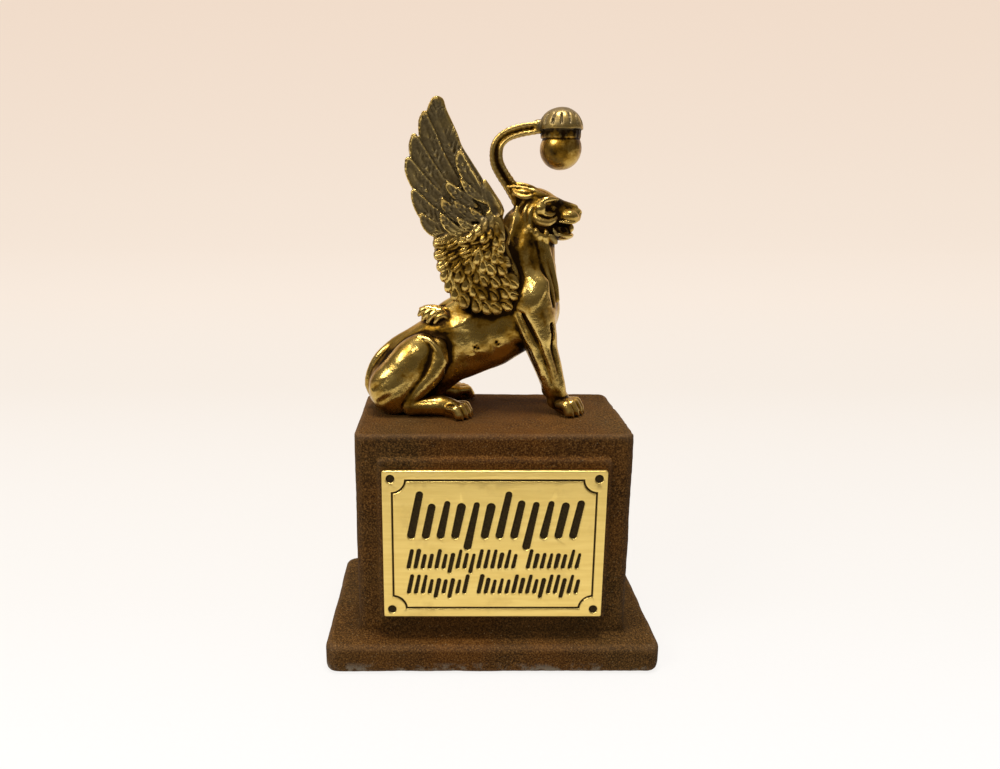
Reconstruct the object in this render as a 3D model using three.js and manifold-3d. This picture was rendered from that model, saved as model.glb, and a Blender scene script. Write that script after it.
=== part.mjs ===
// A seated griffin that holds a lamp on a curled bracket, cast in brass, on a cast-stone plinth
// with a brass nameplate. Millimetres, +Z up. The origin is the centre of the plinth's underside,
// the nameplate faces -Y and the griffin looks along +X.
import * as THREE from "three";
import { edgeTable, triTable } from "three/addons/objects/MarchingCubes.js";
import { mergeVertices } from "three/addons/utils/BufferGeometryUtils.js";
import Module from "manifold-3d";

const wasm = await Module();
wasm.setup();

// Plinth
const PLINTH_HEIGHT = 45;
const BODY_WIDTH = 50;
const BODY_DEPTH = 29.2;
const BODY_CORNER = 2;
const BODY_TOP_EDGE = 0.9;
const FLANGE_HEIGHT = 5.5;
const FLANGE_REACH_X = 6;
const FLANGE_REACH_Y = 3.9;
const FLANGE_CORNER = 2.4;
const FLANGE_EDGE = 1.2;

// Nameplate, and the raised panel that it is fixed on
const PLATE_WIDTH = 40;
const PLATE_HEIGHT = 28.5;
const PLATE_THICKNESS = 0.8;
const PLATE_EDGE = 0.2;
const PLATE_MIDDLE_Z = 24.7;
const PANEL_MARGIN = 0.9;
const PANEL_PROUD = 0.9;
const PANEL_EDGE = 0.35;
const BORDER_INSET = 1.6;
const BORDER_LINE = 0.4;
const BORDER_SCOOP = 2.4;
const ENGRAVING_DEPTH = 0.25;
const DOT_DIAMETER = 1.5;
const DOT_INSET = 1.5;
const STROKE_SLANT = 0.28;
const STROKE_ROWS = [
  { middle: 5.4, height: 6.4, width: 34, strokes: 10, thick: 1.3 },
  { middle: -3.4, height: 3.0, width: 34, strokes: 14, thick: 0.8 },
  { middle: -8.6, height: 3.0, width: 34, strokes: 14, thick: 0.8 },
];

// Griffin: its pose, proportions and carving are shares of its height, measured in units of which
// the whole figure stands UNITS_TALL high.
const FIGURE_HEIGHT = 57.6;
const UNITS_TALL = 57.6;
const FIGURE_SET_BACK = 4;
const GRID_STEP = 0.5;
const FIGURE_TRIANGLES = 7400;
const CURVE_SIDES = 3;

const FAR = 50;
const NEAR_AND_FAR = [-1, 1];

// Least and greatest of two depths, rounded over a width of `soft` where they meet.
function softMin(a, b, soft) {
  const close = Math.max(soft - Math.abs(a - b), 0);
  return Math.min(a, b) - (close * close) / (4 * soft);
}

function softMax(a, b, soft) {
  return -softMin(-a, -b, soft);
}

// A grid of depths: below zero inside the metal, above zero outside it.
class Casting {
  constructor(low, high, step) {
    this.low = low;
    this.step = step;
    this.size = low.map((value, axis) => Math.ceil((high[axis] - value) / step) + 1);
    this.depths = new Float32Array(this.size[0] * this.size[1] * this.size[2]).fill(FAR);
  }

  // Replaces each depth inside the shape's box, grown by `margin`, with change(old, x, y, z).
  change(shape, margin, change) {
    const { low, step, size, depths } = this;
    const reach = margin + 2 * step;
    const first = low.map((v, i) => Math.max(0, Math.floor((shape.low[i] - reach - v) / step)));
    const last = low.map((v, i) => {
      return Math.min(size[i] - 1, Math.ceil((shape.high[i] + reach - v) / step));
    });
    for (let k = first[2]; k <= last[2]; k++) {
      for (let j = first[1]; j <= last[1]; j++) {
        for (let i = first[0]; i <= last[0]; i++) {
          const at = (k * size[1] + j) * size[0] + i;
          depths[at] = change(depths[at], low[0] + i * step, low[1] + j * step, low[2] + k * step);
        }
      }
    }
  }

  join(shape, soft) {
    this.change(shape, soft, (old, x, y, z) => softMin(old, shape.depth(x, y, z), soft));
  }

  cut(shape, soft) {
    this.change(shape, soft, (old, x, y, z) => softMax(old, -shape.depth(x, y, z), soft));
  }
}

// A tapered limb with round ends. Each end is [x, y, z, radius]; `flat` is its sideways width as a
// share of its width in side view.
function limb(from, to, flat = 1) {
  const along = [to[0] - from[0], to[1] - from[1], to[2] - from[2]];
  const square = along[0] ** 2 + along[1] ** 2 + along[2] ** 2;
  const widest = Math.max(from[3], to[3]);
  return {
    low: [0, 1, 2].map((i) => Math.min(from[i], to[i]) - widest),
    high: [0, 1, 2].map((i) => Math.max(from[i], to[i]) + widest),
    depth(x, y, z) {
      const px = x - from[0];
      const py = y - from[1];
      const pz = z - from[2];
      const share = (px * along[0] + py * along[1] + pz * along[2]) / square;
      const t = Math.min(1, Math.max(0, share));
      const dy = (py - along[1] * t) / flat;
      const gap = Math.hypot(px - along[0] * t, dy, pz - along[2] * t);
      return gap - (from[3] + (to[3] - from[3]) * t);
    },
  };
}

// A chain of limbs through stations, each [x, y, z, radius].
function chain(stations, flat = 1) {
  return stations.slice(1).map((station, i) => limb(stations[i], station, flat));
}

// The same stations on one side of the figure: y is given as a distance from the middle.
function onSide(stations, side, forward = 0) {
  return stations.map(([x, y, z, r]) => [x + forward, side * y, z, r]);
}

// An ellipsoid, tilted in side view by `tilt` degrees, nose up.
function egg(centre, radii, tilt = 0) {
  const angle = THREE.MathUtils.degToRad(tilt);
  const [cos, sin] = [Math.cos(angle), Math.sin(angle)];
  const widest = Math.max(...radii);
  return {
    low: centre.map((value) => value - widest),
    high: centre.map((value) => value + widest),
    depth(x, y, z) {
      const [dx, dy, dz] = [x - centre[0], y - centre[1], z - centre[2]];
      const px = (dx * cos + dz * sin) / radii[0];
      const py = dy / radii[1];
      const pz = (dz * cos - dx * sin) / radii[2];
      const length = Math.hypot(px, py, pz);
      const slope = Math.hypot(px / radii[0], py / radii[1], pz / radii[2]);
      return slope > 0 ? (length * (length - 1)) / slope : -Math.min(...radii);
    },
  };
}

// Trunk and neck: rump, haunch, loin, ribs, chest, base of the neck and its top.
const TRUNK = [
  [-16.6, 0, 4.8, 7.3],
  [-14.2, 0, 8.3, 6.9],
  [-8.8, 0, 12.0, 6.6],
  [-0.5, 0, 15.6, 7.1],
  [5.8, 0, 19.8, 7.2],
  [5.7, 0, 26.8, 6.3],
  [6.8, 0, 34.4, 4.8],
];
const TRUNK_FLAT = 0.68;

const SHIN = [
  [-10.6, 5.0, 13.4, 2.2],
  [-9.2, 5.6, 10.2, 2.5],
  [-10.7, 6.0, 6.9, 2.1],
  [-13.2, 6.1, 4.2, 1.6],
  [-15.1, 6.1, 1.9, 1.45],
  [-8.0, 6.1, 1.75, 1.5],
  [-6.2, 6.1, 1.2, 1.5],
];
const FORELEG = [
  [7.6, 3.3, 20.0, 3.8],
  [8.9, 3.6, 14.4, 3.1],
  [10.3, 3.9, 10.4, 2.6],
  [11.6, 4.1, 7.0, 2.35],
  [12.6, 4.3, 3.8, 2.25],
  [13.3, 4.4, 1.7, 2.0],
];
const FORELEG_FLAT = 0.86;

// The far hind foot stands a little ahead, and the forepaws turn outwards, the far one more.
const HIND_STRIDE = 0.8;
const NEAR_SPLAY = 8;
const FAR_SPLAY = 68;

// A paw whose ankle stands at (x, y), turned outwards by `turn` degrees.
function paw(x, y, size, turn) {
  const angle = THREE.MathUtils.degToRad(turn) * Math.sign(y);
  const [cos, sin] = [Math.cos(angle), Math.sin(angle)];
  const station = (ahead, across, z, radius) => [
    x + size * (ahead * cos - across * sin),
    y + size * (ahead * sin + across * cos),
    size * z,
    size * radius,
  ];
  const parts = [limb(station(0, 0, 1.2, 1.6), station(2.2, 0, 1.0, 1.6))];
  for (const toe of [-1.35, -0.45, 0.45, 1.35]) {
    const reach = 4.4 - Math.abs(toe) * 0.4;
    const knuckles = [
      station(reach - 2.6, toe * 0.8, 1.75, 0.72),
      station(reach - 0.7, toe, 1.5, 0.8),
      station(reach, toe, 0.6, 0.72),
    ];
    parts.push(...chain(knuckles));
  }
  return parts;
}

function makeBody(casting) {
  for (const part of chain(TRUNK, TRUNK_FLAT)) casting.join(part, 1.5);
  for (const side of NEAR_AND_FAR) {
    const stride = side < 0 ? 0 : HIND_STRIDE;
    const splay = side < 0 ? NEAR_SPLAY : FAR_SPLAY;
    casting.join(egg([-15.9, side * 4.5, 8.3], [8.2, 3.5, 4.9], 57), 0.8);
    for (const part of chain(onSide(SHIN, side, stride), 0.95)) casting.join(part, 0.7);
    casting.join(egg([7.6, side * 3.1, 20.8], [4.2, 2.6, 6.8], -8), 1.5);
    for (const part of chain(onSide(FORELEG, side), FORELEG_FLAT)) casting.join(part, 1.2);
    for (const part of paw(-8.0 + stride, side * 6.1, 0.95, 0)) casting.join(part, 0.3);
    for (const part of paw(13.4, side * 4.5, 1.12, splay)) casting.join(part, 0.3);
    casting.cut(limb([-13.7, side * 8.6, 4.2, 0.7], [-10.3, side * 8.2, 13.6, 0.7]), 0.8);
    for (let rib = 0; rib < 4; rib++) {
      const x = -5.6 + rib * 3.2;
      const z = 12.0 + rib * 1.3;
      casting.cut(limb([x, side * 5.6, z, 0.5], [x - 1.2, side * 5.6, z + 4.0, 0.4]), 1.2);
    }
  }
}

// The tail runs up the spine from under the rump, and its tuft of locks lies back over the haunch.
const TAIL = [
  [-20.6, -0.6, 0.8, 1.1],
  [-23.2, -0.6, 4.6, 1.0],
  [-22.1, -0.6, 8.9, 1.0],
  [-18.9, -0.6, 12.4, 0.95],
  [-13.8, -0.6, 15.4, 0.9],
  [-9.2, -0.8, 17.9, 0.85],
  [-6.8, -1.8, 18.9, 0.8],
];

function makeTail(casting) {
  for (const part of chain(TAIL)) casting.join(part, 0.35);
  for (let lock = 0; lock < 5; lock++) {
    const fan = lock / 4 - 0.5;
    const y = -2.2 + fan * 3.8;
    const stations = [
      [-7.2, -2.0 + fan * 1.6, 18.9, 0.8],
      [-10.0, y, 19.2 - 2.2 * fan * fan, 1.05],
      [-12.9, y * 1.1, 18.8 - 4.4 * fan * fan, 0.9],
    ];
    for (const part of chain(stations)) casting.join(part, 0.2);
  }
}

// Wings. Every feather points away from the shoulder; side view gives x and z, and each wing is a
// plate that leans outwards and carries the feathers as relief.
const WING_SHOULDER = { x: 1.5, z: 33 };
const WING_ROOT_Y = 4.7;
const WING_ROOT_Z = 20;
const WING_LEAN = Math.tan(THREE.MathUtils.degToRad(6.5));
const WING_SWEEP = 0.05;
const WING_PLATE = 0.75;

// Long feathers from the leading edge backwards: tip, the tip's direction in degrees, length, half
// width, and how fast the shaft bends towards the shoulder.
const PRIMARIES = [
  { x: -10.4, z: 57.5, angle: 104, length: 22, width: 1.9, bend: 0.006 },
  { x: -12.7, z: 54.9, angle: 104, length: 21, width: 2.0, bend: 0.01 },
  { x: -14.4, z: 51.3, angle: 106, length: 19, width: 2.1, bend: 0.012 },
  { x: -15.6, z: 47.2, angle: 108, length: 17, width: 2.2, bend: 0.014 },
  { x: -15.3, z: 42.6, angle: 112, length: 15, width: 2.2, bend: 0.018 },
  { x: -14.3, z: 38.8, angle: 122, length: 12, width: 2.2, bend: 0.02 },
  { x: -12.3, z: 35.4, angle: 140, length: 10, width: 2.1, bend: 0.02 },
];
const SECONDARIES = [
  { x: -7.4, z: 48.4, angle: 108, length: 12, width: 1.5, bend: 0.012 },
  { x: -9.0, z: 44.8, angle: 110, length: 11, width: 1.5, bend: 0.014 },
  { x: -10.0, z: 41.2, angle: 113, length: 9, width: 1.5, bend: 0.018 },
  { x: -10.4, z: 38.0, angle: 122, length: 8, width: 1.5, bend: 0.02 },
  { x: -9.6, z: 35.2, angle: 138, length: 7, width: 1.4, bend: 0.02 },
  { x: -4.9, z: 44.6, angle: 112, length: 9, width: 1.3, bend: 0.012 },
  { x: -6.3, z: 41.2, angle: 114, length: 8, width: 1.3, bend: 0.018 },
  { x: -6.9, z: 38.0, angle: 122, length: 6, width: 1.3, bend: 0.02 },
];
const COVERT_ROWS = 6;
const COVERT_OUTER = 12.9;
const COVERT_PITCH = 2.15;

function feather(tip, level, blunt) {
  const angle = THREE.MathUtils.degToRad(tip.angle);
  return { ...tip, cos: Math.cos(angle), sin: Math.sin(angle), level, blunt: tip.width * blunt };
}

function wingFeathers() {
  const feathers = PRIMARIES.map((tip, i) => feather(tip, 0.15 + 0.05 * i, 2.8));
  SECONDARIES.forEach((tip, i) => feathers.push(feather(tip, 0.6 + 0.05 * i, 2)));
  for (let row = 0; row < COVERT_ROWS; row++) {
    const radius = COVERT_OUTER - row * COVERT_PITCH;
    const step = THREE.MathUtils.radToDeg(2.3 / radius);
    const firstAngle = 184 + (row % 2) * step * 0.5;
    for (let angle = firstAngle; angle < 290; angle += step) {
      const along = THREE.MathUtils.degToRad(angle);
      const tip = {
        x: WING_SHOULDER.x + radius * Math.cos(along),
        z: WING_SHOULDER.z + radius * Math.sin(along),
        angle: angle - 12,
        length: 3.6,
        width: 1.2,
        bend: 0,
      };
      feathers.push(feather(tip, 0.5 + 0.12 * row, 0.9));
    }
  }
  return feathers;
}

// Height of the wing's relief over its plate at one point, and how far the point is from the
// outline of the feathers.
function wingRelief(feathers, x, z) {
  let height = 0;
  let edge = FAR;
  for (const { x: tipX, z: tipZ, cos, sin, length, width, bend, blunt, level } of feathers) {
    const back = (tipX - x) * cos + (tipZ - z) * sin;
    if (back < -2 || back > length + 2) continue;
    const across = (z - tipZ) * cos - (x - tipX) * sin + bend * back * back;
    if (Math.abs(across) > width + 2) continue;
    const cap = Math.max(0, blunt - back) / blunt;
    const round = Math.hypot(cap, across / width);
    const outside = Math.max((round - 1) * width, back - length);
    edge = Math.min(edge, outside);
    if (outside < 0) {
      const vault = 1 - round * round;
      const rise = level + 0.3 * (1 - back / length) + 0.35 * Math.sqrt(vault);
      height = Math.max(height, rise);
    }
  }
  return { height, edge };
}

function makeWings(casting) {
  const feathers = wingFeathers();
  const { low, step, size } = casting;
  const relief = [];
  for (let k = 0; k < size[2]; k++) {
    for (let i = 0; i < size[0]; i++) {
      relief.push(wingRelief(feathers, low[0] + i * step, low[2] + k * step));
    }
  }
  for (const side of NEAR_AND_FAR) {
    const inner = side < 0 ? -12 : 2;
    const wing = {
      low: [-18, inner, 17],
      high: [7, inner + 10, 60],
      depth(x, y, z) {
        const i = Math.round((x - low[0]) / step);
        const k = Math.round((z - low[2]) / step);
        const { height, edge } = relief[k * size[0] + i];
        const middle = WING_ROOT_Y + (z - WING_ROOT_Z) * WING_LEAN - (x + 5) * WING_SWEEP;
        const out = side * y - middle;
        const plate = softMax(out - WING_PLATE * 0.4 - height, -out - WING_PLATE, 0.2);
        return softMax(plate, edge, 0.3);
      },
    };
    casting.join(egg([1.0, side * 4.0, 26.5], [4.0, 2.0, 7.0], -12), 1.0);
    casting.join(wing, 0.25);
    const { x, z } = WING_SHOULDER;
    casting.join(egg([x - 0.6, side * 5.6, z], [3.0, 1.3, 3.6], -12), 0.6);
    const leadingEdge = onSide(
      [
        [1.5, 6.3, 37.5, 0.7],
        [3.3, 5.6, 31.0, 0.8],
        [4.3, 5.2, 24.4, 0.7],
      ],
      side,
    );
    for (const part of chain(leadingEdge)) casting.join(part, 0.4);
    casting.join(egg([0.0, side * 6.6, 40.0], [1.6, 0.9, 4.2], 22), 0.3);
    casting.cut(egg([-0.2, side * 7.5, 40.0], [0.9, 0.7, 2.9], 22), 0.2);
  }
}

// Bracket and lamp
const BRACKET_CENTRE = { x: 6.3, z: 47.8 };
const BRACKET_RADIUS = 5.65;
const LAMP_X = 12.3;
const GLOBE_Z = 49.3;
const GLOBE_RADIUS = 3.85;
const HOOD_Z = 52.6;
const HOOD_RADIUS = 4.2;
const HOOD_RISE = 3.7;
const HOOD_FLUTES = 14;

function makeHead(casting) {
  casting.join(egg([8.0, 0, 38.0], [4.7, 3.7, 4.4], -24), 1.2);
  casting.join(limb([10.6, 0, 38.3, 2.5], [15.0, 0, 37.6, 1.75], 0.85), 0.8);
  casting.join(egg([15.6, 0, 38.0], [1.2, 1.1, 0.8], -20), 0.3);
  casting.join(limb([9.4, 0, 34.6, 2.4], [14.0, 0, 33.7, 1.25], 1.1), 0.6);
  for (const side of NEAR_AND_FAR) {
    casting.join(egg([14.4, side * 1.2, 36.7], [1.8, 1.2, 1.2], -10), 0.3);
    casting.join(limb([7.9, side * 3.1, 40.2, 0.6], [11.6, side * 2.0, 39.6, 0.5]), 0.4);
    casting.cut(egg([10.5, side * 3.3, 38.3], [1.2, 0.9, 0.8], -15), 0.3);
    casting.join(egg([10.4, side * 2.6, 38.3], [0.75, 0.6, 0.6]), 0.1);
    const cheek = onSide(
      [
        [8.0, 3.3, 37.6, 0.7],
        [9.7, 3.4, 36.3, 0.8],
        [11.9, 2.6, 36.6, 0.7],
      ],
      side,
    );
    for (const part of chain(cheek)) casting.join(part, 0.4);
    for (let lock = 0; lock < 8; lock++) {
      const turn = THREE.MathUtils.degToRad(118 + lock * 21);
      const root = [9.2 + 3.4 * Math.cos(turn), side * 2.9, 37.0 + 4.1 * Math.sin(turn), 0.85];
      const end = [9.2 + 5.0 * Math.cos(turn + 0.2), side * 3.1, 37.0 + 5.6 * Math.sin(turn + 0.2), 0.4];
      casting.join(limb(root, end), 0.2);
    }
    for (let lock = 0; lock < 3; lock++) {
      const start = [3.6, side * 0.6, 42.2 + lock * 0.4, 0.7];
      const end = [7.2 + lock * 0.9, side * (2.6 - lock * 0.8), 41.6 - lock * 0.1, 0.6];
      casting.join(limb(start, end), 0.2);
    }
  }
  casting.cut(limb([12.7, 0, 35.4, 0.45], [16.4, 0, 35.0, 0.8], 4), 0.2);
}

// Two rods side by side, which leave a groove along each flank of the bracket.
function makeBracket(casting) {
  for (const offset of [-0.5, 0.5]) {
    const stations = [
      [5.8 + offset, 0, 38.4, 1.3],
      [3.4 + offset, 0, 42.2, 0.95],
    ];
    for (let degrees = 215; degrees >= 95; degrees -= 12) {
      const turn = THREE.MathUtils.degToRad(degrees);
      const radius = BRACKET_RADIUS - offset;
      const x = BRACKET_CENTRE.x + radius * Math.cos(turn);
      const z = BRACKET_CENTRE.z + radius * Math.sin(turn);
      stations.push([x, 0, z, 0.75]);
    }
    stations.push([9.6, 0, BRACKET_CENTRE.z + BRACKET_RADIUS - offset, 0.8]);
    for (const part of chain(stations)) casting.join(part, 0.25);
  }
}

function makeLamp(casting) {
  const hood = egg([LAMP_X - 0.4, 0, HOOD_Z], [HOOD_RADIUS, HOOD_RADIUS, HOOD_RISE]);
  const plain = hood.depth;
  hood.low[2] = HOOD_Z - 0.6;
  hood.depth = (x, y, z) => {
    const around = Math.atan2(y, x - hood.middle);
    const flute = 0.16 * Math.cos(HOOD_FLUTES * around) * Math.min(1, Math.max(0, (HOOD_Z + 3 - z) / 2));
    return softMax(plain(x, y, z) - flute, HOOD_Z - 0.4 - z, 0.3);
  };
  hood.middle = LAMP_X - 0.4;
  casting.join(hood, 0.2);
  const ring = {
    low: [LAMP_X - 3.5, -3.5, HOOD_Z - 1.3],
    high: [LAMP_X + 3.5, 3.5, HOOD_Z],
    depth: (x, y, z) => {
      return softMax(Math.hypot(x - LAMP_X, y) - 3.4, Math.abs(z - HOOD_Z + 0.5) - 0.7, 0.3);
    },
  };
  casting.join(ring, 0.15);
  casting.join(egg([LAMP_X + 0.2, 0, GLOBE_Z], [GLOBE_RADIUS, GLOBE_RADIUS, GLOBE_RADIUS]), 0.2);
}

// Turns the casting's zero surface into triangles: { points, faces }.
const CUBE_CORNERS = [
  [0, 0, 0],
  [1, 0, 0],
  [1, 1, 0],
  [0, 1, 0],
  [0, 0, 1],
  [1, 0, 1],
  [1, 1, 1],
  [0, 1, 1],
];
const CUBE_EDGES = [
  [0, 1],
  [1, 2],
  [3, 2],
  [0, 3],
  [4, 5],
  [5, 6],
  [7, 6],
  [4, 7],
  [0, 4],
  [1, 5],
  [2, 6],
  [3, 7],
];

function surfaceOf({ low, step, size, depths }) {
  const stride = [1, size[0], size[0] * size[1]];
  const corner = CUBE_CORNERS.map((c) => c[0] * stride[0] + c[1] * stride[1] + c[2] * stride[2]);
  const points = [];
  const faces = [];
  const known = new Map();
  const pointOn = (cell, i, j, k, edge) => {
    const [a, b] = CUBE_EDGES[edge];
    const axis = CUBE_CORNERS[a].findIndex((value, n) => value !== CUBE_CORNERS[b][n]);
    const key = (cell + corner[a]) * 3 + axis;
    if (!known.has(key)) {
      const from = depths[cell + corner[a]];
      const to = depths[cell + corner[b]];
      const share = Math.min(0.95, Math.max(0.05, from / (from - to)));
      const place = [i, j, k].map((n, at) => low[at] + (n + CUBE_CORNERS[a][at]) * step);
      place[axis] += share * step;
      known.set(key, points.length / 3);
      points.push(...place);
    }
    return known.get(key);
  };
  for (let k = 0; k + 1 < size[2]; k++) {
    for (let j = 0; j + 1 < size[1]; j++) {
      for (let i = 0; i + 1 < size[0]; i++) {
        const cell = i + j * stride[1] + k * stride[2];
        let kind = 0;
        for (let n = 0; n < 8; n++) if (depths[cell + corner[n]] < 0) kind |= 1 << n;
        if (edgeTable[kind] === 0) continue;
        for (let n = kind * 16; triTable[n] >= 0; n += 3) {
          faces.push([2, 1, 0].map((at) => pointOn(cell, i, j, k, triTable[n + at])));
        }
      }
    }
  }
  return { points, faces };
}

// Squared distance of a point to the planes that a vertex gathers, as ten sums.
function planeSums(a, b, c, d, weight) {
  return [a * a, a * b, a * c, a * d, b * b, b * c, b * d, c * c, c * d, d * d].map((v) => v * weight);
}

function planeError(q, x, y, z) {
  const across = q[0] * x * x + q[4] * y * y + q[7] * z * z;
  const mixed = q[1] * x * y + q[2] * x * z + q[5] * y * z + q[3] * x + q[6] * y + q[8] * z;
  return across + 2 * mixed + q[9];
}

// The point with the least error, or null where the planes don't fix one.
function bestPoint(q) {
  const rows = new THREE.Matrix3(q[0], q[1], q[2], q[1], q[4], q[5], q[2], q[5], q[7]);
  const size = q[0] + q[4] + q[7];
  if (Math.abs(rows.determinant()) < 1e-5 * size ** 3) return null;
  return new THREE.Vector3(-q[3], -q[6], -q[8]).applyMatrix3(rows.invert()).toArray();
}

// Merges edges, the one that changes the surface least first, until `target` triangles are left.
function simplify({ points, faces }, target) {
  const count = points.length / 3;
  const place = Array.from({ length: count }, (_, i) => points.slice(3 * i, 3 * i + 3));
  const around = Array.from({ length: count }, () => new Set());
  const sums = Array.from({ length: count }, () => new Array(10).fill(0));
  const age = new Int32Array(count);
  const [p, q, r] = [new THREE.Vector3(), new THREE.Vector3(), new THREE.Vector3()];

  const normalOf = (a, b, c) => {
    p.fromArray(a);
    q.fromArray(b).sub(p);
    r.fromArray(c).sub(p);
    return q.cross(r).clone();
  };
  faces.forEach((face, index) => {
    const normal = normalOf(...face.map((v) => place[v]));
    const area = normal.length() || 1e-12;
    normal.divideScalar(area);
    const offset = -normal.dot(p);
    const plane = planeSums(normal.x, normal.y, normal.z, offset, area);
    for (const v of face) {
      around[v].add(index);
      plane.forEach((value, n) => (sums[v][n] += value));
    }
  });

  const heap = [];
  const push = (item) => {
    let at = heap.push(item) - 1;
    while (at > 0) {
      const parent = (at - 1) >> 1;
      if (heap[parent].cost <= heap[at].cost) break;
      [heap[parent], heap[at]] = [heap[at], heap[parent]];
      at = parent;
    }
  };
  const pop = () => {
    const top = heap[0];
    const last = heap.pop();
    if (heap.length) {
      heap[0] = last;
      let at = 0;
      for (;;) {
        let least = at;
        for (const child of [2 * at + 1, 2 * at + 2]) {
          if (child < heap.length && heap[child].cost < heap[least].cost) least = child;
        }
        if (least === at) break;
        [heap[least], heap[at]] = [heap[at], heap[least]];
        at = least;
      }
    }
    return top;
  };
  const offer = (a, b) => {
    const both = sums[a].map((value, n) => value + sums[b][n]);
    const middle = place[a].map((value, n) => (value + place[b][n]) / 2);
    const length = Math.hypot(...place[a].map((value, n) => value - place[b][n]));
    const best = bestPoint(both);
    const near = best && Math.hypot(...best.map((value, n) => value - middle[n])) < 2 * length;
    const to = near ? best : middle;
    const cost = planeError(both, ...to) + 1e-4 * length ** 3;
    push({ a, b, to, cost, ages: age[a] + age[b] });
  };
  const neighbours = (v) => {
    const found = new Set();
    for (const index of around[v]) for (const other of faces[index]) if (other !== v) found.add(other);
    return found;
  };
  const turnsOver = (v, gone, to) => {
    for (const index of around[v]) {
      const face = faces[index];
      if (face.includes(gone)) continue;
      const before = normalOf(...face.map((n) => place[n]));
      const after = normalOf(...face.map((n) => (n === v ? to : place[n])));
      if (before.dot(after) < 0.3 * before.length() * after.length()) return true;
      if (after.length() < 1e-3 * before.length()) return true;
    }
    return false;
  };

  for (let v = 0; v < count; v++) for (const other of neighbours(v)) if (other > v) offer(v, other);
  let left = faces.length;
  while (left > target && heap.length) {
    const { a, b, to, ages } = pop();
    if (age[a] < 0 || age[b] < 0 || age[a] + age[b] !== ages) continue;
    const shared = [...neighbours(a)].filter((v) => neighbours(b).has(v));
    if (shared.length !== 2 || turnsOver(a, b, to) || turnsOver(b, a, to)) continue;
    place[a] = to;
    sums[a] = sums[a].map((value, n) => value + sums[b][n]);
    for (const index of around[b]) {
      if (faces[index].includes(a)) {
        for (const v of faces[index]) around[v].delete(index);
        faces[index] = null;
        left -= 1;
      } else {
        faces[index] = faces[index].map((v) => (v === b ? a : v));
        around[a].add(index);
      }
    }
    age[b] = -1;
    age[a] += 1;
    for (const v of neighbours(a)) {
      age[v] += 1;
    }
    for (const v of neighbours(a)) {
      for (const other of neighbours(v)) {
        if (other === a || other > v || !neighbours(a).has(other)) offer(v, other);
      }
    }
  }
  const kept = faces.filter((face) => face);
  const used = [...new Set(kept.flat())];
  const renumbered = new Map(used.map((v, n) => [v, n]));
  return {
    points: used.flatMap((v) => place[v]),
    faces: kept.map((face) => face.map((v) => renumbered.get(v))),
  };
}

// A closed geometry as a solid that can be joined and cut.
function solidOf(geometry) {
  geometry.deleteAttribute("normal");
  geometry.deleteAttribute("uv");
  const merged = mergeVertices(geometry, 1e-4);
  return new wasm.Manifold(
    new wasm.Mesh({
      numProp: 3,
      vertProperties: Float32Array.from(merged.attributes.position.array),
      triVerts: Uint32Array.from(merged.index.array),
    }),
  );
}

function geometryOf(solid) {
  const { vertProperties, triVerts } = solid.getMesh();
  const geometry = new THREE.BufferGeometry();
  geometry.setAttribute("position", new THREE.BufferAttribute(vertProperties, 3));
  geometry.setIndex(new THREE.BufferAttribute(triVerts, 1));
  geometry.computeVertexNormals();
  return geometry;
}

function makeFigure() {
  const casting = new Casting([-27, -12, -3.5], [21, 12, 60], GRID_STEP);
  makeBody(casting);
  makeTail(casting);
  makeWings(casting);
  makeHead(casting);
  makeBracket(casting);
  makeLamp(casting);
  const { points, faces } = simplify(surfaceOf(casting), FIGURE_TRIANGLES);
  const unit = FIGURE_HEIGHT / UNITS_TALL;
  const geometry = new THREE.BufferGeometry();
  geometry.setAttribute("position", new THREE.Float32BufferAttribute(points, 3));
  geometry.setIndex(faces.flat());
  geometry.scale(unit, unit, unit);
  const size = 4 * FIGURE_HEIGHT;
  const above = new THREE.BoxGeometry(size, size, size).translate(0, 0, size / 2);
  return geometryOf(solidOf(geometry).intersect(solidOf(above)));
}

// A flat block with rounded corners, from z = 0 up to its height, with its edges eased.
function block(width, depth, height, corner, edge) {
  const [x, y] = [width / 2 - edge, depth / 2 - edge];
  const r = Math.max(corner - edge, 0.01);
  const shape = new THREE.Shape();
  shape.moveTo(-x + r, -y);
  shape.absarc(x - r, -y + r, r, -Math.PI / 2, 0);
  shape.absarc(x - r, y - r, r, 0, Math.PI / 2);
  shape.absarc(-x + r, y - r, r, Math.PI / 2, Math.PI);
  shape.absarc(-x + r, -y + r, r, Math.PI, 1.5 * Math.PI);
  const geometry = new THREE.ExtrudeGeometry(shape, {
    depth: height - 2 * edge,
    bevelEnabled: true,
    bevelSize: edge,
    bevelThickness: edge,
    bevelSegments: 2,
    curveSegments: CURVE_SIDES,
  });
  return geometry.translate(0, 0, edge);
}

// Stands a flat block upright, facing -Y, with its back at y = 0.
function facingFront(geometry) {
  return geometry.rotateX(Math.PI / 2);
}

const PANEL_FRONT = -BODY_DEPTH / 2 - PANEL_PROUD;

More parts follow.
